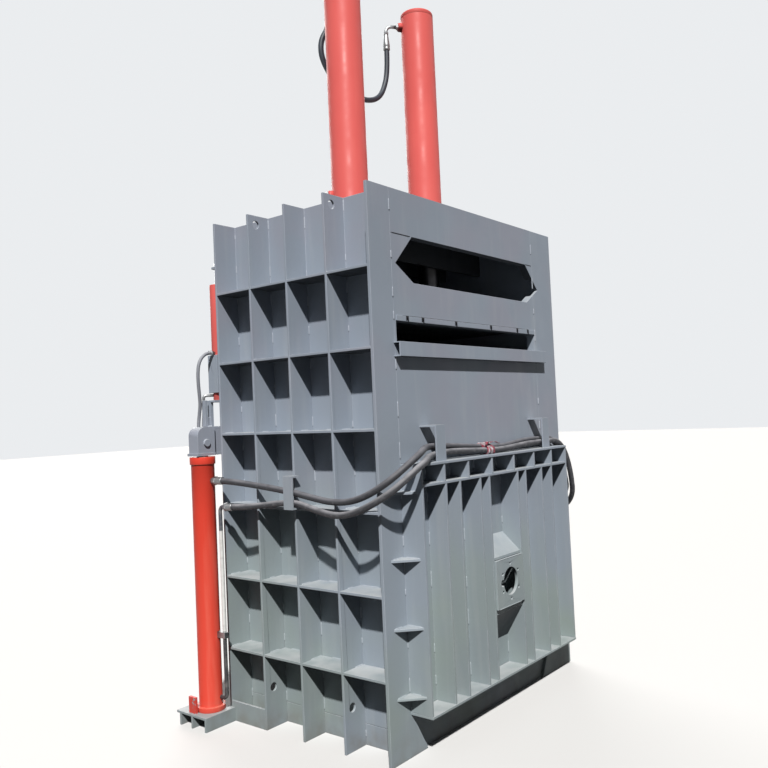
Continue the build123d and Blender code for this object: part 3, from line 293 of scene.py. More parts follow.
# %% Routes of the short hoses
main_route = [
    (-0.1922, -0.1345, 3.779), (-0.1922, -0.1345, 3.690), (-0.181, -0.142, 3.570),
    (-0.122, -0.149, 3.454), (0.005, -0.155, 3.402), (0.130, -0.161, 3.416),
    (0.239, -0.168, 3.431), (0.326, -0.168, 3.500), (0.362, -0.174, 3.575),
    (0.358, -0.170, 3.658), (0.3263, -0.1410, 3.722), (0.3263, -0.1410, 3.779),
]
door_top_route = [
    (0.868, -0.585, 1.915), (0.894, -0.585, 1.915), (0.922, -0.585, 1.904), (0.945, -0.587, 1.882),
    (0.959, -0.589, 1.850), (0.963, -0.592, 1.807), (0.959, -0.597, 1.755), (0.948, -0.605, 1.696),
    (0.934, -0.618, 1.640), (0.928, -0.640, 1.575), (0.928, -0.649, 1.515), (0.928, -0.649, 1.450),
]
door_low_route = [
    (0.890, -0.645, 1.650), (0.890, -0.645, 1.588), (0.896, -0.649, 1.520), (0.896, -0.649, 1.450),
]
for route in (main_route, door_top_route, door_low_route):
    print("short route:", round(run_of(route), 3), "m")

# %% [markdown]
# ## Hoses
#
# A hydraulic hose is rubber over steel braid: it won't kink, so it runs in long
# easy curves. A mesh tube could follow such a route, but a curve stays easy to
# change. Each hose is a NURBS curve whose control points are the corners of its
# route; order 3 keeps it smooth, and the bevel gives it its round section. The
# bevel is 1 m deep and each point's radius scales it down to the hose, so that
# Blender's bounding box, which only adds the points' radii, fits the hose.

# %% Hoses
long_radius = 0.0155
main_radius = 0.016
door_radius = 0.009
both_sides = {"near": 1, "far": -1}


def on_side(side, place):
    """A near place for side 1, its mirror image on the far side for side -1."""
    x, y, z = place
    return side * x, y, z


def make_hose(name, node, points, radius, body="frame"):
    """A round hose along its control points, standing for its CAD solid."""
    data = bpy.data.curves.new(name, "CURVE")
    data.dimensions = "3D"
    data.resolution_u = 10
    data.bevel_depth = 1.0
    data.bevel_resolution = 5
    data.use_fill_caps = True
    spline = data.splines.new("NURBS")
    spline.points.add(len(points) - 1)
    for point, place in zip(spline.points, points):
        point.co = (*place, 1)
        point.radius = radius
    spline.order_u = 3
    spline.use_endpoint_u = True
    hose = add_object(name, data)
    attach(hose, body)
    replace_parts(hose, node)
    return hose


upper_hose = make_hose("upper_long_hose", "hose_upper", upper_route, long_radius)
lower_hose = make_hose("lower_long_hose", "hose_lower", lower_route, long_radius)
main_hose = make_hose("cylinder_hose", "hose_main", main_route, main_radius)
door_hoses = []
for word, side in both_sides.items():
    for task, port, route, length in (("supply", "top", door_top_route, 0.531),
                                      ("return", "low", door_low_route, 0.200)):
        points = [on_side(side, place) for place in route]
        door_hoses.append(make_hose(f"door_{task}_hose_{word}", f"door_hose_{port}_{word}", points,
                                    door_radius, "gate"))
print("hoses:", 3 + len(door_hoses))

# %% [markdown]
# ## Masks
#
# A mask is a value from 0 (black) to 1 (white) that says where one colour covers
# another. Masks can be painted by hand, plate by plate; nodes make them for every
# plate at once. Noise gives patches, a clamped ramp sets where they begin and end,
# and a product keeps only what lies in both masks. Object coordinates are metres
# here, so one set of noises fits everything.


# %% Masks
def remap(tree, value, low, high, out_low=0.0, out_high=1.0):
    """A clamped straight ramp between two values."""
    ramp = add_node(tree, "ShaderNodeMapRange")
    ramp.inputs["From Min"].default_value = low
    ramp.inputs["From Max"].default_value = high
    ramp.inputs["To Min"].default_value = out_low
    ramp.inputs["To Max"].default_value = out_high
    tree.links.new(value, ramp.inputs["Value"])
    return ramp.outputs["Result"]


def combine(tree, operation, first, second=0.0):
    """Arithmetic on two sockets or numbers."""
    node = add_node(tree, "ShaderNodeMath", operation=operation)
    for socket, value in zip(node.inputs, (first, second)):
        if isinstance(value, bpy.types.NodeSocket):
            tree.links.new(value, socket)
        else:
            socket.default_value = value
    return node.outputs[0]


def both(tree, first, second):
    """White only where both masks are white."""
    return combine(tree, "MULTIPLY", first, second)


def noise(tree, scale, detail, stretch=(1, 1, 1)):
    """Noise in object metres, stretched by a mapping."""
    place = add_node(tree, "ShaderNodeTexCoord")
    mapping = add_node(tree, "ShaderNodeMapping")
    texture = add_node(tree, "ShaderNodeTexNoise")
    mapping.inputs["Scale"].default_value = stretch
    texture.inputs["Scale"].default_value = scale
    texture.inputs["Detail"].default_value = detail
    tree.links.new(place.outputs["Object"], mapping.inputs["Vector"])
    tree.links.new(mapping.outputs[0], texture.inputs["Vector"])
    return texture.outputs["Fac"]


def patches(tree, scale, low, high, out_low=0.0, out_high=1.0, detail=5):
    """Soft patches: noise, cut between two levels and spread over a range."""
    return remap(tree, noise(tree, scale, detail), low, high, out_low, out_high)


# %% [markdown]
# ## Masks that follow the shape
#
# Mud reaches only so high, dust settles on what looks up, and paint wears off at
# corners. These masks therefore read the surface itself: its place, the way it
# faces, and how sharply it turns. The turn could be stored in the mesh, but a
# Bevel node finds it for any shape: it compares a rounded normal with the true one.


# %% Masks that follow the shape
def place_of(tree):
    """X, Y and Z in metres, from the middle of the box's footprint on the floor."""
    place = add_node(tree, "ShaderNodeTexCoord")
    split = add_node(tree, "ShaderNodeSeparateXYZ")
    tree.links.new(place.outputs["Object"], split.inputs[0])
    return split.outputs


def facing(tree, start, full):
    """White on faces whose normal's height lies beyond start: up, or down if negative."""
    surface = add_node(tree, "ShaderNodeNewGeometry")
    split = add_node(tree, "ShaderNodeSeparateXYZ")
    tree.links.new(surface.outputs["Normal"], split.inputs[0])
    return remap(tree, split.outputs["Z"], start, full)


def sharp_edges(tree, radius):
    """White near sharp edges, black on flats."""
    bevel = add_node(tree, "ShaderNodeBevel", samples=4)
    bevel.inputs["Radius"].default_value = radius
    surface = add_node(tree, "ShaderNodeNewGeometry")
    dot = add_node(tree, "ShaderNodeVectorMath", operation="DOT_PRODUCT")
    tree.links.new(bevel.outputs[0], dot.inputs[0])
    tree.links.new(surface.outputs["Normal"], dot.inputs[1])
    return remap(tree, dot.outputs["Value"], 0.98, 0.80)


# %% [markdown]
# ## Paint that has been outdoors
#
# The plates have one coat of machine paint. One flat colour would look like
# plastic, because real paint isn't even: it is cooler and cleaner high up,
# streaked where rain ran, and thin on sharp edges. The colour also turns greener
# low down, and faces that look down are darkened as painted shade. Each of these
# is one more colour laid over the last through a mask, so that every step can be
# changed by itself.

# %% Layers of paint
mud_colour = (0.17, 0.16, 0.14)
mud_height = 0.13
wear_width = 0.004


def darker(colour, share):
    """The same colour with only a share of its light."""
    return tuple(share * c for c in colour)


def coat(tree, colour, low_colour, tinge):
    """The paint itself: another colour low down, darker clouds, and a tinge high up."""
    height = place_of(tree)["Z"]
    low_down = remap(tree, height, 1.6, 0.4)
    greener = both(tree, low_down, patches(tree, 1.1, 0.42, 0.56, 0.2, 1.0, detail=3))
    body = mix_colour(tree, greener, colour, low_colour)
    body = mix_colour(tree, patches(tree, 1.3, 0.42, 0.68, 0, 0.5), body, darker(colour, 0.84))
    high_up = remap(tree, height, 0.9, 1.5)
    tinged = both(tree, high_up, patches(tree, 2.1, 0.45, 0.60, 0, 0.5, detail=3))
    return mix_colour(tree, tinged, body, tinge)


def weathered(tree, body, dust, streaks, dusty):
    """Streaks where rain ran, and dust on faces that look up."""
    runs = remap(tree, noise(tree, 4, 6, (4, 4, 0.35)), 0.52, 0.80, 0, streaks)
    body = mix_colour(tree, runs, body, dust)
    settled = both(tree, facing(tree, 0.5, 0.95), patches(tree, 7, 0.3, 0.65, 0, dusty))
    return mix_colour(tree, settled, body, dust)


def worn_and_muddy(tree, body, worn):
    """Rubbed edges, and mud that splashed up from the floor."""
    rubbed = both(tree, sharp_edges(tree, wear_width), patches(tree, 14, 0.38, 0.62))
    body = mix_colour(tree, rubbed, body, worn)
    low = remap(tree, place_of(tree)["Z"], mud_height, 0.0)
    splashed = both(tree, low, patches(tree, 11, 0.35, 0.7, 0, 0.6))
    return mix_colour(tree, splashed, body, mud_colour)


# %% [markdown]
# ## One recipe for all paints
#
# The grey plates and the red cylinders differ only in colour, gloss and dirt, so
# one function makes all their paints. Sprayed paint is never quite flat or evenly
# shiny: a helper gives any shader an uneven roughness and a bump too fine to model.


# %% Paint recipe
def roughen(tree, shader, rough, spread, bump_height, grain):
    """Uneven roughness and a fine bump on a shader."""
    gloss_patches = patches(tree, 9, 0.3, 0.7, rough - spread, rough + spread)
    tree.links.new(gloss_patches, shader.inputs["Roughness"])
    bump = add_node(tree, "ShaderNodeBump")
    bump.inputs["Strength"].default_value = 0.35
    bump.inputs["Distance"].default_value = bump_height
    tree.links.new(noise(tree, grain, 6), bump.inputs["Height"])
    tree.links.new(bump.outputs[0], shader.inputs["Normal"])


def paint(name, colour, low_colour, tinge, worn, dust,
          rough=0.5, streaks=0.5, dusty=0.6, gloss=0.15):
    """Machine paint with height tint, streaks, worn edges, settled dust and painted shade on faces that
    look down.
    """
    material, tree, shader = new_material(name)
    body = coat(tree, colour, low_colour, tinge)
    body = weathered(tree, body, dust, streaks, dusty)
    # Faces that look down get a much darker colour: painted shade.
    painted_shade_below = remap(tree, facing(tree, -0.12, -0.45), 0, 1, 0, 0.93)
    body = mix_colour(tree, painted_shade_below, body, darker(colour, 0.12))
    body = worn_and_muddy(tree, body, worn)
    tree.links.new(body, shader.inputs["Base Color"])
    shader.inputs["Specular IOR Level"].default_value = gloss
    roughen(tree, shader, rough, spread=0.10, bump_height=0.0006, grain=90)
    return material


# %% [markdown]
# ## The paints of this press
#
# Plates are blue-grey, and greenish towards the floor. The beams under the main
# cylinders are near-black, as painted shade inside the box. The main cylinders are
# coral, bleached by the sun, and the lift cylinders are a stronger orange red. Paint
# lies thick and shiny on a weld bead, so the beads have a paler grey of their own,
# which also stands in for the glints they catch.

# %% Paints
dust_colour = (0.40, 0.42, 0.43)
grey_paint = paint("grey_paint", colour=(0.248, 0.285, 0.340), low_colour=(0.245, 0.292, 0.278),
                   tinge=(0.262, 0.262, 0.315), worn=(0.42, 0.45, 0.50), dust=dust_colour,
                   streaks=0.2, dusty=0.85)
# Near-black: painted shade on the beams inside the box, and the colour of the open seams.
shade_and_seam_grey = paint("shade_and_seam_grey", colour=(0.050, 0.055, 0.062), low_colour=(0.050, 0.055, 0.062),
                  tinge=(0.040, 0.042, 0.050), worn=(0.20, 0.21, 0.23), dust=(0.12, 0.12, 0.12),
                  streaks=0.2)
coral_paint = paint("coral_paint", colour=(0.55, 0.098, 0.089), low_colour=(0.55, 0.098, 0.089),
                    tinge=(0.50, 0.084, 0.078), worn=(0.76, 0.36, 0.31), dust=(0.68, 0.22, 0.18),
                    rough=0.46, streaks=0.15, dusty=0.3, gloss=0.12)
orange_paint = paint("orange_paint", colour=(0.60, 0.048, 0.028), low_colour=(0.60, 0.066, 0.042),
                     tinge=(0.54, 0.043, 0.027), worn=(0.80, 0.38, 0.30), dust=(0.74, 0.28, 0.20),
                     rough=0.42, streaks=0.25, dusty=0.4, gloss=0.2)
# Paler than the plates for thick paint; the whitish patches high up are painted glints.
weld_grey_and_glint = paint("weld_grey_and_glint", colour=(0.28, 0.31, 0.36), low_colour=(0.28, 0.33, 0.33),
                  tinge=(0.46, 0.49, 0.54), worn=(0.44, 0.47, 0.51), dust=dust_colour,
                  rough=0.42, streaks=0.3, gloss=0.3)
print("nodes in a paint:", len(grey_paint.node_tree.nodes))

# %% [markdown]
# ## Bare metals
#
# Piston rods are hard chrome, ground along a spiral, with a little oil; the two
# big rods inside the box are made near-black instead, as painted shade inside the
# box. Bolts and fittings are zinc plated and have gone dull. A metal shows its
# surroundings more than its own colour, so two close shades are enough, and the
# uneven roughness does the rest.


# %% Metals
def metal(name, colour, dark, rough, spread, grain):
    """A metal whose colour and gloss vary."""
    material, tree, shader = new_material(name)
    shade = mix_colour(tree, patches(tree, 12, 0.4, 0.7, 0, 0.8, detail=6), colour, dark)
    tree.links.new(shade, shader.inputs["Base Color"])
    shader.inputs["Metallic"].default_value = 1.0
    roughen(tree, shader, rough, spread, bump_height=0.0003, grain=grain)
    return material


# Near-black metal: painted shade on the rods inside the box.
painted_shade_rod = metal("painted_shade_rod", (0.050, 0.050, 0.056), (0.022, 0.022, 0.022), 0.40, 0.08, grain=300)
chromed_rod = metal("chromed_rod", (0.72, 0.73, 0.75), (0.52, 0.52, 0.53), 0.16, 0.06, grain=400)
fitting_steel = metal("fitting_steel", (0.30, 0.31, 0.32), (0.13, 0.13, 0.13), 0.42, 0.10, grain=180)
bolt_steel = metal("bolt_steel", (0.26, 0.26, 0.26), (0.12, 0.11, 0.11), 0.46, 0.10, grain=220)
print("metals from", painted_shade_rod.name, "to", bolt_steel.name)

# %% [markdown]
# ## Rubber
#
# Hose rubber is black under a skin of dust, which lies thickest on top of each
# hose. One grey in between would look flat, so the dust is a second colour that
# follows the way a face looks up, and scuffs cross it everywhere. The lower long
# hose is the dustiest, and the hose between the main cylinders is still clean.


# %% Rubber
def rubber(name, colour, dust, rough, cover):
    """Matt rubber, dusty on its upper side."""
    material, tree, shader = new_material(name)
    lying = both(tree, facing(tree, 0.1, 0.9), patches(tree, 16, 0.25, 0.6, 0.3, cover))
    scuffed = combine(tree, "MAXIMUM", lying, patches(tree, 40, 0.52, 0.7, 0, 0.22))
    tree.links.new(mix_colour(tree, scuffed, colour, dust), shader.inputs["Base Color"])
    roughen(tree, shader, rough, spread=0.08, bump_height=0.0004, grain=260)
    return material


hose_rubber = rubber("hose_rubber", (0.020, 0.021, 0.026), (0.18, 0.18, 0.20), 0.62, cover=0.80)
dusty_rubber = rubber("dusty_rubber", (0.024, 0.025, 0.030), (0.26, 0.26, 0.28), 0.66, cover=0.95)
clean_rubber = rubber("clean_rubber", (0.012, 0.018, 0.028), (0.050, 0.065, 0.090), 0.50, cover=0.40)
grey_hose = rubber("grey_hose", (0.19, 0.20, 0.23), (0.32, 0.33, 0.35), 0.6, cover=0.6)
upper_hose.data.materials.append(hose_rubber)
lower_hose.data.materials.append(dusty_rubber)
main_hose.data.materials.append(clean_rubber)
for hose in door_hoses:
    hose.data.materials.append(grey_hose)
print("dustiest hose:", lower_hose.name)

# %% [markdown]
# ## A pipe coloured in zones
#
# The steel pipe beside each lift cylinder is dark at its foot, bare and pale along
# the middle, and dark again at its elbow. It could be cut into three pieces with a
# material each. It is one pipe, though, so its colour changes with height alone.

# %% Pipe in zones
zone_blur = 0.004
pipe_zones = [
    (0.0, (0.030, 0.031, 0.034)), (0.440, (0.34, 0.34, 0.34)), (0.475, (0.60, 0.60, 0.59)),
    (0.985, (0.055, 0.060, 0.075)),
]


def by_height(name, zones):
    """Colour in zones up a pipe: (height, colour) from the bottom."""
    material, tree, shader = new_material(name)
    height = place_of(tree)["Z"]
    body = zones[0][1]
    for edge, colour in zones[1:]:
        body = mix_colour(tree, remap(tree, height, edge, edge + zone_blur), body, colour)
    body = mix_colour(tree, patches(tree, 30, 0.45, 0.75, 0, 0.5), body, (0.26, 0.25, 0.24))
    tree.links.new(body, shader.inputs["Base Color"])
    roughen(tree, shader, rough=0.5, spread=0.1, bump_height=0.0005, grain=120)
    return material


pipe_finish = by_height("pipe_finish", pipe_zones)
print(pipe_finish.name, "zones:", len(pipe_zones))

# %% [markdown]
# ## Marks over the grey paint
#
# Bale wires run through the notches over the slot, and a narrow near-black band at
# each notch is painted shade. The outer lug of each lift cylinder's foot is painted
# red. A new plate could be cut for each mark. Instead the grey paint is copied,
# dust and wear included, and one more colour goes over it through a mask made from
# places.

# %% Marks
notches = (0.620, 0.496, 0.209, -0.131, -0.418, -0.542)
lug_from = 1.039
foot_top = 0.071
sharp = 0.0005


def over_grey(name, colour, mask):
    """Grey paint with another colour over it where the mask function says so."""
    material = grey_paint.copy()
    material.name = name
    tree = material.node_tree
    socket = tree.nodes["Principled BSDF"].inputs["Base Color"]
    grey = socket.links[0].from_socket
    tree.links.new(mix_colour(tree, mask(tree), grey, colour), socket)
    return material


def outer_lug(tree):
    """White on the lug at each foot's outer end, chipped a little."""
    place = place_of(tree)
    outwards = combine(tree, "ABSOLUTE", place["X"])
    lug = both(tree, remap(tree, outwards, lug_from - sharp, lug_from + sharp),
               remap(tree, place["Z"], foot_top - sharp, foot_top + sharp))
    return both(tree, lug, patches(tree, 60, 0.66, 0.60, detail=4))


def notch_shade(tree):
    """White in a narrow band at each notch of the strip over the slot, where the painted shade goes."""
    sideways = place_of(tree)["X"]
    marks = 0.0
    for notch in notches:
        beside = combine(tree, "ABSOLUTE", combine(tree, "SUBTRACT", sideways, notch))
        marks = combine(tree, "MAXIMUM", remap(tree, beside, 0.0120, 0.0095), marks)
    return marks


foot_finish = over_grey("foot_finish", (0.50, 0.055, 0.040), outer_lug)
# Near-black bands at the notches: painted shade.
notch_shade_finish = over_grey("notch_shade_finish", (0.010, 0.010, 0.013), notch_shade)
print("marks at", len(notches), "notches")

# %% [markdown]
# ## Dress the CAD plates
#
# Each CAD node names its finish in the record's material slot, and a few get one
# of their own. Sheared plate never has a perfectly sharp edge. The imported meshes
# have split corners, so each first joins its doubled points and then rounds its
# edges with a Bevel modifier. The edges could be rounded in the mesh itself, but
# modifiers leave it as the frame holds it.

# %% Finishes and soft edges on the CAD nodes
plate_edge = 0.0015
same_place = 0.00002
finishes = {made.name: made for made in (grey_paint, coral_paint, orange_paint, chromed_rod,
                                         fitting_steel, bolt_steel, hose_rubber, grey_hose)}
finishes["pale_pipe"] = pipe_finish
# The rods and beams inside the box are darkened as painted shade, and the notch strip gets painted shade
# at its notches.
special = {"ram_rods": painted_shade_rod, "lift_feet": foot_finish, "crosshead_beams": shade_and_seam_grey,
           "notch_strip": notch_shade_finish}


def dress(node, material, edge):
    """A finish and rounded edges for one CAD node."""
    shape = cad[node]
    shape.data.materials.clear()
    shape.data.materials.append(material)
    joined = shape.modifiers.new("weld", "WELD")
    joined.merge_threshold = same_place
    if edge > 0:
        bevel = shape.modifiers.new("edge", "BEVEL")
        bevel.width = edge
        bevel.segments = 2
        bevel.limit_method = "ANGLE"
        bevel.angle_limit = radians(50)


slots = {part["node"]: part["material_slot"] for part in frame["record"]["subparts"]}
for node, slot in slots.items():
    dress(node, special.get(node, finishes[slot]), 0.0 if "hose" in node else plate_edge)
print("dressed nodes:", len(slots))

# %% [markdown]
# ## Turned shapes
#
# Nuts, sleeves and weld beads could start from Blender's cylinders. Here one idea
# builds them all: walk along a line and set a ring of points at each step, as a
# lathe would. A profile of (distance, radius) pairs says how wide each ring is. Six
# sides give a hexagon nut, many sides give a round sleeve, and a rippled profile
# gives a weld bead. Every shape is closed at both ends, so the mesh has no open
# edges.

# %% Turned shapes
hexagon = 6


def circle(centre, radius, across, other, sides):
    """A ring of points round a centre."""
    return [centre + radius * (cos(tau * k / sides) * across + sin(tau * k / sides) * other)
            for k in range(sides)]


class Shape:
    """Points, faces and a smooth flag for each face."""

    def __init__(self):
        self.points = []
        self.faces = []
        self.smooth = []

    def skin(self, rings, smooth):
        """Join rings of points into one closed skin."""
        sides = len(rings[0])
        first = len(self.points)
        last = first + (len(rings) - 1) * sides
        for ring in rings:
            self.points.extend(ring)
        for start in range(first, last, sides):
            for side in range(sides):
                a = start + side
                b = start + (side + 1) % sides
                self.faces.append((a, b, b + sides, a + sides))
        self.faces.append(tuple(range(first + sides - 1, first - 1, -1)))
        self.faces.append(tuple(range(last, last + sides)))
        self.smooth += [smooth] * (sides * (len(rings) - 1)) + [False, False]

    def turned(self, profile, start, direction, sides=24):
        """A lathe shape from (distance, radius) pairs; six sides make a nut."""
        start = Vector(start)
        along = Vector(direction).normalized()
        across = along.orthogonal().normalized()
        other = along.cross(across)
        self.skin([circle(start + along * far, wide, across, other, sides) for far, wide in profile],
                  sides != hexagon)

    def swept(self, path, radius, sides=16):
        """A tube along a bend that lies in one plane."""
        level = (path[1] - path[0]).cross(path[-1] - path[-2]).normalized()
        rings = []
        for number, point in enumerate(path):
            ahead = path[min(number + 1, len(path) - 1)] - path[max(number - 1, 0)]
            rings.append(circle(point, radius, level, ahead.normalized().cross(level), sides))
        self.skin(rings, smooth=True)

    def build(self, name, material, body):
        """Make the object and let it ride its body."""
        mesh = bpy.data.meshes.new(name)
        mesh.from_pydata(self.points, [], self.faces)
        mesh.polygons.foreach_set("use_smooth", self.smooth)
        mesh.materials.append(material)
        made = add_object(name, mesh)
        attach(made, body)
        print(name, "faces:", len(self.faces))
        return made


# %% [markdown]
# ## Hose ends
#
# A hydraulic hose ends in a steel sleeve that is crimped on, which leaves a row
# of shallow grooves, and in a nut that turns on the pipe. A bump map could fake
# the grooves, but they are wide enough to be turned as real steps. Each end
# stands at the first or last point of its hose and points the way the hose
# leaves, so it moves with its route.

# %% Crimped sleeves and nuts
overlap = 0.001
chamfer = 0.0015
crimp_lip = 0.004
grooves = 5


def crimped(radius, length):
    """Profile of a crimped sleeve for a hose of this radius."""
    wide = 1.26 * radius
    narrow = 0.94 * wide
    pitch = (length - 2 * crimp_lip) / grooves
    profile = [(0.0, 0.80 * wide), (chamfer, wide)]
    for groove in range(grooves):
        begin = crimp_lip + groove * pitch
        profile += [(begin, wide), (begin + 0.2 * pitch, narrow), (begin + 0.7 * pitch, narrow),
                    (begin + 0.9 * pitch, wide)]
    return profile + [(length - chamfer, wide), (length, 1.04 * radius)]


def hex_nut(shape, width, height, start, direction):
    """A chamfered hexagon nut."""
    profile = [(0.0, 0.90 * width), (0.1 * height, width), (0.9 * height, width), (height, 0.90 * width)]
    shape.turned(profile, start, direction, hexagon)


def hose_end(shape, start, direction, radius, nut, sleeve):
    """A nut and a crimped sleeve at one end of a hose."""
    along = Vector(direction)
    hex_nut(shape, 1.5 * radius, nut, Vector(start) - overlap * along, along)
    shape.turned(crimped(radius, sleeve), Vector(start) + along * (nut - 2 * overlap), along)


frame_ends = Shape()
gate_ends = Shape()
for side in both_sides.values():
    hose_end(frame_ends, on_side(side, upper_route[0]), (0, 1, 0), long_radius, 0.020, 0.046)
    hose_end(frame_ends, on_side(side, lower_route[0]), (0, 1, 0), long_radius, 0.018, 0.040)
    hose_end(gate_ends, on_side(side, door_top_route[0]), (side, 0, 0), door_radius, 0.010, 0.018)
    hose_end(gate_ends, on_side(side, door_low_route[0]), (0, 0, -1), door_radius, 0.012, 0.026)
    hose_end(gate_ends, on_side(side, door_top_route[-1]), (0, 0, 1), door_radius, 0.012, 0.026)
    hose_end(gate_ends, on_side(side, door_low_route[-1]), (0, 0, 1), door_radius, 0.012, 0.026)
frame_ends.build("hose_ends_frame", fitting_steel, "frame")
gate_ends.build("hose_ends_gate", fitting_steel, "gate")

# %% [markdown]
# ## Ports of the main cylinders
#
# Oil enters each main cylinder through a short painted boss with a nut in it. At
# the top a slim pipe turns down from the nut into a long tapered sleeve, where the
# hose begins; at the bottom a plug closes the port. The CAD model holds plain
# stubs there. Two pieces replace them, because the bosses are painted and the
# pipes are bare.

# %% Bosses and nuts
cylinder_x = 0.349
barrel_axis_y = -0.012
barrel_radius = 0.1
upper_port_z = 3.916
lower_port_z = 2.74
boss_sunk = 0.008
nut_face = 0.036
bosses = Shape()
elbows = Shape()


def away_from(x, z, angle, distance):
    """A point out from a main cylinder's axis, and the direction it lies in."""
    away = Vector((cos(radians(angle)), sin(radians(angle)), 0))
    return Vector((x, barrel_axis_y, z)) + away * distance, away


def boss(x, z, angle):
    """The painted boss on the barrel, and the nut in it."""
    start, away = away_from(x, z, angle, barrel_radius - boss_sunk)
    bosses.turned([(0.0, 0.027), (0.026, 0.026), (0.031, 0.022)], start, away, 32)
    hex_nut(elbows, 0.0205, 0.016, start + away * 0.030, away)


for port_x in (-cylinder_x, cylinder_x):
    boss(port_x, lower_port_z, -38)
    plug, out = away_from(port_x, lower_port_z, -38, barrel_radius + nut_face)
    hex_nut(elbows, 0.0155, 0.008, plug, out)
print("lower ports closed at", lower_port_z, "m")

# %% [markdown]
# ## Bent pipes at the upper ports
#
# The bent pipe could be one more curve with a bevel. It is swept from rings like
# the other fittings, so that pipe, nut and sleeve are one mesh in one material.
# The sleeve widens in steps from a slim neck to the two collars above the hose.

# %% Bent pipes
bend = 0.034
bend_steps = 8
pipe_radius = 0.0105
tapered_sleeve = [
    (0.012, 0.0125), (0.020, 0.0135), (0.070, 0.0190), (0.078, 0.0205), (0.088, 0.0205),
    (0.091, 0.0192), (0.097, 0.0192), (0.100, 0.0205), (0.110, 0.0205), (0.1125, 0.0165),
]


def bent_port(x, angle, reach):
    """A boss with a pipe that bends down into a tapered sleeve."""
    boss(x, upper_port_z, angle)
    start, away = away_from(x, upper_port_z, angle, barrel_radius + nut_face)
    turn, away = away_from(x, upper_port_z, angle, reach)
    middle = turn - away * bend - Vector((0, 0, bend))
    path = [start]
    for step in range(bend_steps + 1):
        turned_by = pi / 2 * step / bend_steps
        path.append(middle + bend * (away * sin(turned_by) + Vector((0, 0, cos(turned_by)))))
    path.append(Vector((turn.x, turn.y, upper_port_z - bend - 0.012)))
    elbows.swept(path, pipe_radius)
    top = Vector((turn.x, turn.y, upper_port_z - bend - 0.004))
    hex_nut(elbows, 0.0165, 0.014, top, (0, 0, -1))
    elbows.turned(tapered_sleeve, top, (0, 0, -1), 32)


bent_port(-cylinder_x, -38, 0.199)
bent_port(cylinder_x, -100, 0.131)
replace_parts(bosses.build("port_bosses", coral_paint, "frame"), "main_ports")
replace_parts(elbows.build("port_elbows", fitting_steel, "frame"), "main_ports")

# %% [markdown]
# ## Weld beads
#
# The bars and ribs are held by short stitch welds, about 50 mm long with gaps
# between them. A real bead is a row of overlapping ripples. Drawn as a texture it
# would vanish at the first side light, so each one is a slim tube whose width
# swells and shrinks every few millimetres. It sits in the corner where two plates
# meet, half sunk in both. Chance sets the lengths and gaps, from a fixed seed, so
# that every run gives the same welds.

# %% Weld beads
hand = random.Random(11)
ripple = 0.0042
bead_radius = 0.0034


def stitches(start, end, count, length):
    """Short lines spread along a joint, uneven as a hand sets them."""
    start, end = Vector(start), Vector(end)
    along = (end - start).normalized()
    gap = (end - start).length / count
    lines = []
    for number in range(count):
        half = min(length * hand.uniform(0.55, 1.35), 0.9 * gap) / 2
        middle = (number + 0.5) * gap + hand.uniform(-1, 1) * (gap / 2 - half)
        lines.append((start + along * (middle - half), start + along * (middle + half)))
    return lines


def stitches_up(x, y, low, high, count, length):
    """Stitches up a standing joint."""
    return stitches((x, y, low), (x, y, high), count, length)


def weld(name, lines, radius, body, material=weld_grey_and_glint):
    """Rippled beads along all the lines, as one piece."""
    shape = Shape()
    for number, (start, end) in enumerate(lines):
        start, end = Vector(start), Vector(end)
        length = (end - start).length
        steps = max(4, round(length / ripple))
        profile = []
        for step in range(steps + 1):
            share = step / steps
            swell = 0.92 + 0.20 * (step % 2) + 0.07 * sin(1.7 * step + number)
            taper = min(1.0, 0.4 + 8 * min(share, 1 - share))
            profile.append((share * length, radius * swell * taper))
        shape.turned(profile, start, end - start, 8)
    return shape.build(name, material, body)


# %% [markdown]
# ## Welds on the side walls
#
# Each side wall is an egg crate: standing ribs, flat bars between them, and a skin
# behind. Every corner of every cell has its stitches. They follow the grid, so the
# lists below hold only the ribs' faces and the bars' tops, and loops find the
# joints. In the top row a thin painted bead also runs unbroken behind each rib.

# %% Welds on the side walls
plate = 0.012
skin_face = 0.733
rib_tip = 0.875
wall_height = 2.6
rib_faces = [(-0.535, -0.523), (-0.2705, -0.2585), (-0.006, 0.006), (0.2585, 0.2705), (0.519, 0.535)]
bar_tops = [0.375 + 0.37 * row for row in range(6)]
bar_undersides = [top - plate for top in bar_tops]
wall_lines = []
thin_lines = []
for side in both_sides.values():
    skin_x = side * skin_face
    for low, high in zip([0.0] + bar_tops, bar_undersides + [wall_height]):
        for rib, (front, back) in enumerate(rib_faces):
            if rib > 0:
                wall_lines += stitches_up(skin_x, front, low, high, 2, 0.05)
            if rib < 4:
                wall_lines += stitches_up(skin_x, back, low, high, 2, 0.05)
            if rib < 4 and high == wall_height:
                thin_lines.append(((skin_x, back, low), (skin_x, back, high)))
    for top in bar_tops:
        for (_, left), (right, _) in zip(rib_faces, rib_faces[1:]):
            wall_lines += stitches((skin_x, left, top), (skin_x, right, top), 1, 0.08)
            wall_lines += stitches((skin_x, left, top - plate), (skin_x, right, top - plate), 1, 0.08)
            for end in (left, right):
                wall_lines += stitches((skin_x, end, top), (side * rib_tip, end, top), 1, 0.06)
weld("side_welds", wall_lines, bead_radius, "frame")
weld("side_long_welds", thin_lines, 0.0024, "frame", grey_paint)

# %% [markdown]
# ## Welds on the rear wall
#
# The rear wall is three plates set between two corner strips, with the strapping
# panel on top of the lowest. Stitches run up both seams, along the panel's top,
# beside each of its ribs and webs, round the corner gussets and along the ejector
# plate. They could be placed by eye, but a bead needs two faces that meet, so each
# line starts from plates' faces: a rib's centre give or take half its thickness,
# or a gusset's top and underside.

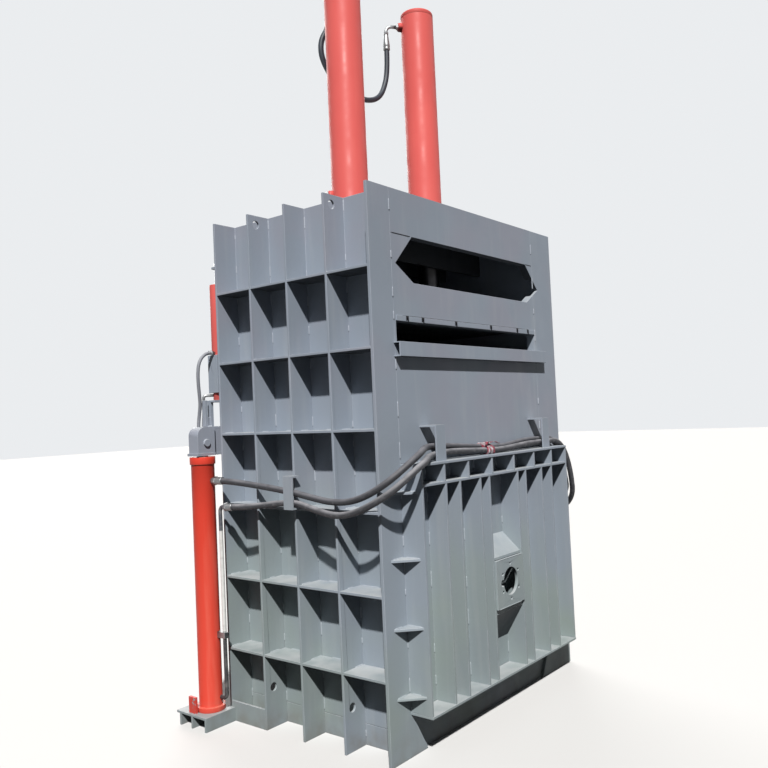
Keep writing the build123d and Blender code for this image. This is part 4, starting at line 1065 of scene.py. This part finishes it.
# %% Welds on the rear wall and its panel
rear_face = 0.535
panel_face = 0.547
ejector_face = 0.662
near_seam, far_seam = 0.717, -0.635
seam_low, seam_high = 1.33, 2.58
near_edge, far_edge = 0.722, -0.716
panel_low, panel_high, panel_top = 0.21, 1.30, 1.318
panel_ribs = (-0.524, -0.406, -0.225, -0.140, 0.146, 0.231, 0.412, 0.530)
short_webs = (-0.532, -0.327, -0.107, 0.113, 0.333, 0.538)
gusset_tops = (0.285, 0.590, 0.895, 1.195)
gusset_leg = 0.095

rear_lines = []
for seam in (near_seam, far_seam):
    rear_lines += stitches_up(seam, rear_face, seam_low, seam_high, 7, 0.06)
rear_lines += stitches((near_edge, rear_face, panel_top), (far_edge, rear_face, panel_top), 11, 0.06)
for centres, low, high, count, length in ((panel_ribs, panel_low, 1.20, 5, 0.06),
                                          (short_webs, 1.23, panel_high, 1, 0.04)):
    for centre in centres:
        for face in (centre - plate / 2, centre + plate / 2):
            rear_lines += stitches_up(face, panel_face, low, high, count, length)
for edge, out in ((far_edge, -1), (near_edge, 1)):
    rear_lines += stitches_up(edge, rear_face, panel_low, panel_high, 6, 0.05)
    for top in gusset_tops:
        for height in (top, top - plate):
            corner = (edge, rear_face, height)
            rear_lines += stitches(corner, (edge + out * gusset_leg, rear_face, height), 1, 0.080)
            rear_lines += stitches(corner, (edge, rear_face + gusset_leg, height), 1, 0.080)
for height in (0.784, 0.541):
    rear_lines += stitches((-0.134, ejector_face, height), (0.140, ejector_face, height), 1, 0.26)
weld("rear_welds", rear_lines, bead_radius, "frame")

# %% [markdown]
# ## Open seams
#
# The top plate and the upper plate meet in a joint that was left unwelded either
# side of the window, and the notched strip is only tacked on above the slot. Both
# joints show as dark lines. A line could be drawn in the paint; a narrow bead in
# near-black grey, half sunk in the seam, gives a real edge that catches a little light.

# %% Open seams on the rear wall
window_seam = 2.389
strip_seam = 2.0045
seams = [((0.713, rear_face, window_seam), (0.562, rear_face, window_seam)),
         ((-0.562, rear_face, window_seam), (-0.631, rear_face, window_seam)),
         ((0.650, rear_face, strip_seam), (-0.565, rear_face, strip_seam))]
weld("window_seams", seams, 0.0022, "frame", shade_and_seam_grey)

# %% [markdown]
# ## Welds on the arms
#
# The gate's two arms reach out to the rods of the lift cylinders. Each is welded
# to its ear down the outer edge and across the top, and to the gate along its
# root. As part of the rear wall's beads they would stay behind when the gate
# rises, so they are pieces of their own that ride the gate.

# %% Welds on the gate's arms
arm_face_y = -0.567
ear_x = 0.901
arm_root_x = 0.712
gate_lines = []
top_lines = []
for side in both_sides.values():
    top_lines.append(((side * ear_x, -0.622, 1.524), (side * ear_x, -0.570, 1.524)))
    gate_lines.append(((side * ear_x, arm_face_y, 1.380), (side * ear_x, arm_face_y, 1.518)))
    gate_lines += stitches_up(side * arm_root_x, arm_face_y, 1.38, 1.52, 2, 0.05)
weld("gate_welds", gate_lines, 0.004, "gate")
weld("gate_top_welds", top_lines, 0.0055, "gate")

# %% [markdown]
# ## Faces of the arms
#
# The gate's arms are folded channels, and a thin plate closes each one on the
# side that the camera sees. A scaled cube would do for a plain rectangle. Here the
# outer corners are cut back so that the weld has room, so the outline is written
# out, set at the front and at the back, and joined like two rings.

# %% Arm faces
arm_back = -0.5675
arm_thickness = 0.006
arm_low, arm_high = 1.376, 1.522
arm_inner, arm_outer = 0.722, 0.8995
corner_cut = 0.008
arm_outline = [
    (arm_inner, arm_low), (arm_outer - corner_cut, arm_low), (arm_outer, arm_low + corner_cut),
    (arm_outer, arm_high - corner_cut), (arm_outer - corner_cut, arm_high), (arm_inner, arm_high),
]
for word, side in both_sides.items():
    outline = [(side * x, z) for x, z in arm_outline[::side]]
    rings = [[(x, y, z) for x, z in outline] for y in (arm_back, arm_back - arm_thickness)]
    arm = Shape()
    arm.skin(rings, smooth=False)
    arm_face = arm.build("arm_face_" + word, grey_paint, "gate")
    soft = arm_face.modifiers.new("edge", "BEVEL")
    soft.width = 0.0012
    soft.segments = 2

# %% [markdown]
# ## Faded cloth
#
# A strip of red and white cloth is wrapped round both long hoses where they lie
# side by side. Its pattern is gone to irregular bands. A sine wave along the hoses
# gives bands, noise added to the wave makes them wander, and a dark colour in
# patches is the dirt.

# %% Cloth
band_waves = 210.0
band_wander = 3.0


def tie_colour():
    """Red cloth with white bands, faded and dirty."""
    material, tree, shader = new_material("tie_cloth")
    waves = combine(tree, "MULTIPLY", place_of(tree)["X"], band_waves)
    wander = combine(tree, "MULTIPLY", noise(tree, 22, 3), band_wander)
    bands = remap(tree, combine(tree, "SINE", combine(tree, "SUBTRACT", waves, wander)), 0.35, 0.55)
    body = mix_colour(tree, bands, (0.24, 0.035, 0.055), (0.36, 0.33, 0.35))
    body = mix_colour(tree, patches(tree, 45, 0.40, 0.65, 0, 0.7), body, (0.10, 0.07, 0.08))
    tree.links.new(body, shader.inputs["Base Color"])
    roughen(tree, shader, rough=0.85, spread=0.08, bump_height=0.0010, grain=420)
    return material


tie_cloth = tie_colour()
print("finish:", tie_cloth.name)

# %% [markdown]
# ## The tie round the rear hoses
#
# The wrap's outline is a stadium: two half circles round the two hoses, joined by
# straight lines. A cloth simulation could tighten a sheet round them, but the tie
# is small, and rings with a few wrinkles look the same and never change. Two loose
# tails, thin strips that bend over as they rise, finish the knot.

# %% Hose tie
wrap_steps = 14
wrap_sides = 36
wrap_start, wrap_width = 0.018, 0.064
wrap_y, wrap_z = 0.580, 1.3465
wrap_radius = 0.0215
hose_half_gap = 0.019
hose_tilt = -0.50
cloth_half = 0.0012


def stadium(middle, radius):
    """Wrinkled points round both hoses, in the plane across them."""
    ring = []
    lean = Vector((0, cos(hose_tilt), sin(hose_tilt)))
    lift = Vector((0, -sin(hose_tilt), cos(hose_tilt)))
    for step in range(wrap_sides):
        angle = tau * step / wrap_sides
        centre = middle + lean * (hose_half_gap if cos(angle) > 0 else -hose_half_gap)
        wrinkle = 1 + 0.05 * sin(5 * angle + 90 * middle.x) + 0.03 * sin(11 * angle - 160 * middle.x)
        ring.append(centre + radius * wrinkle * (lean * cos(angle) + lift * sin(angle)))
    return ring


def tail(turn, lift):
    """Rings of a loose end that leans to one side by turn and rises by lift."""
    rings = []
    for k in range(8):
        point = Vector((0.050 + turn * 0.010 * k + 0.0004 * k * k * turn, 0.592 + 0.003 * k,
                        1.3705 + lift * (0.0075 * k - 0.0011 * k * k)))
        half = 0.009 * (1 - 0.05 * k)
        corners = ((half, cloth_half), (-half, cloth_half), (-half, -cloth_half), (half, -cloth_half))
        ring = [point + Vector((0, y, z)) for y, z in corners]
        rings.append(ring if turn > 0 else ring[::-1])
    return rings


wrap = []
for step in range(wrap_steps + 1):
    share = step / wrap_steps
    bulge = wrap_radius + 0.0025 * sin(9 * share) + 0.002 * sin(23 * share)
    hem = min(1.0, 0.90 + 2 * min(share, 1 - share))
    wrap.append(stadium(Vector((wrap_start + wrap_width * share, wrap_y, wrap_z)), bulge * hem))
tie = Shape()
for rings in (wrap, tail(turn=0.5, lift=1.0), tail(turn=-0.9, lift=0.75)):
    tie.skin(rings, smooth=True)
tie.build("hose_tie", tie_cloth, "frame")
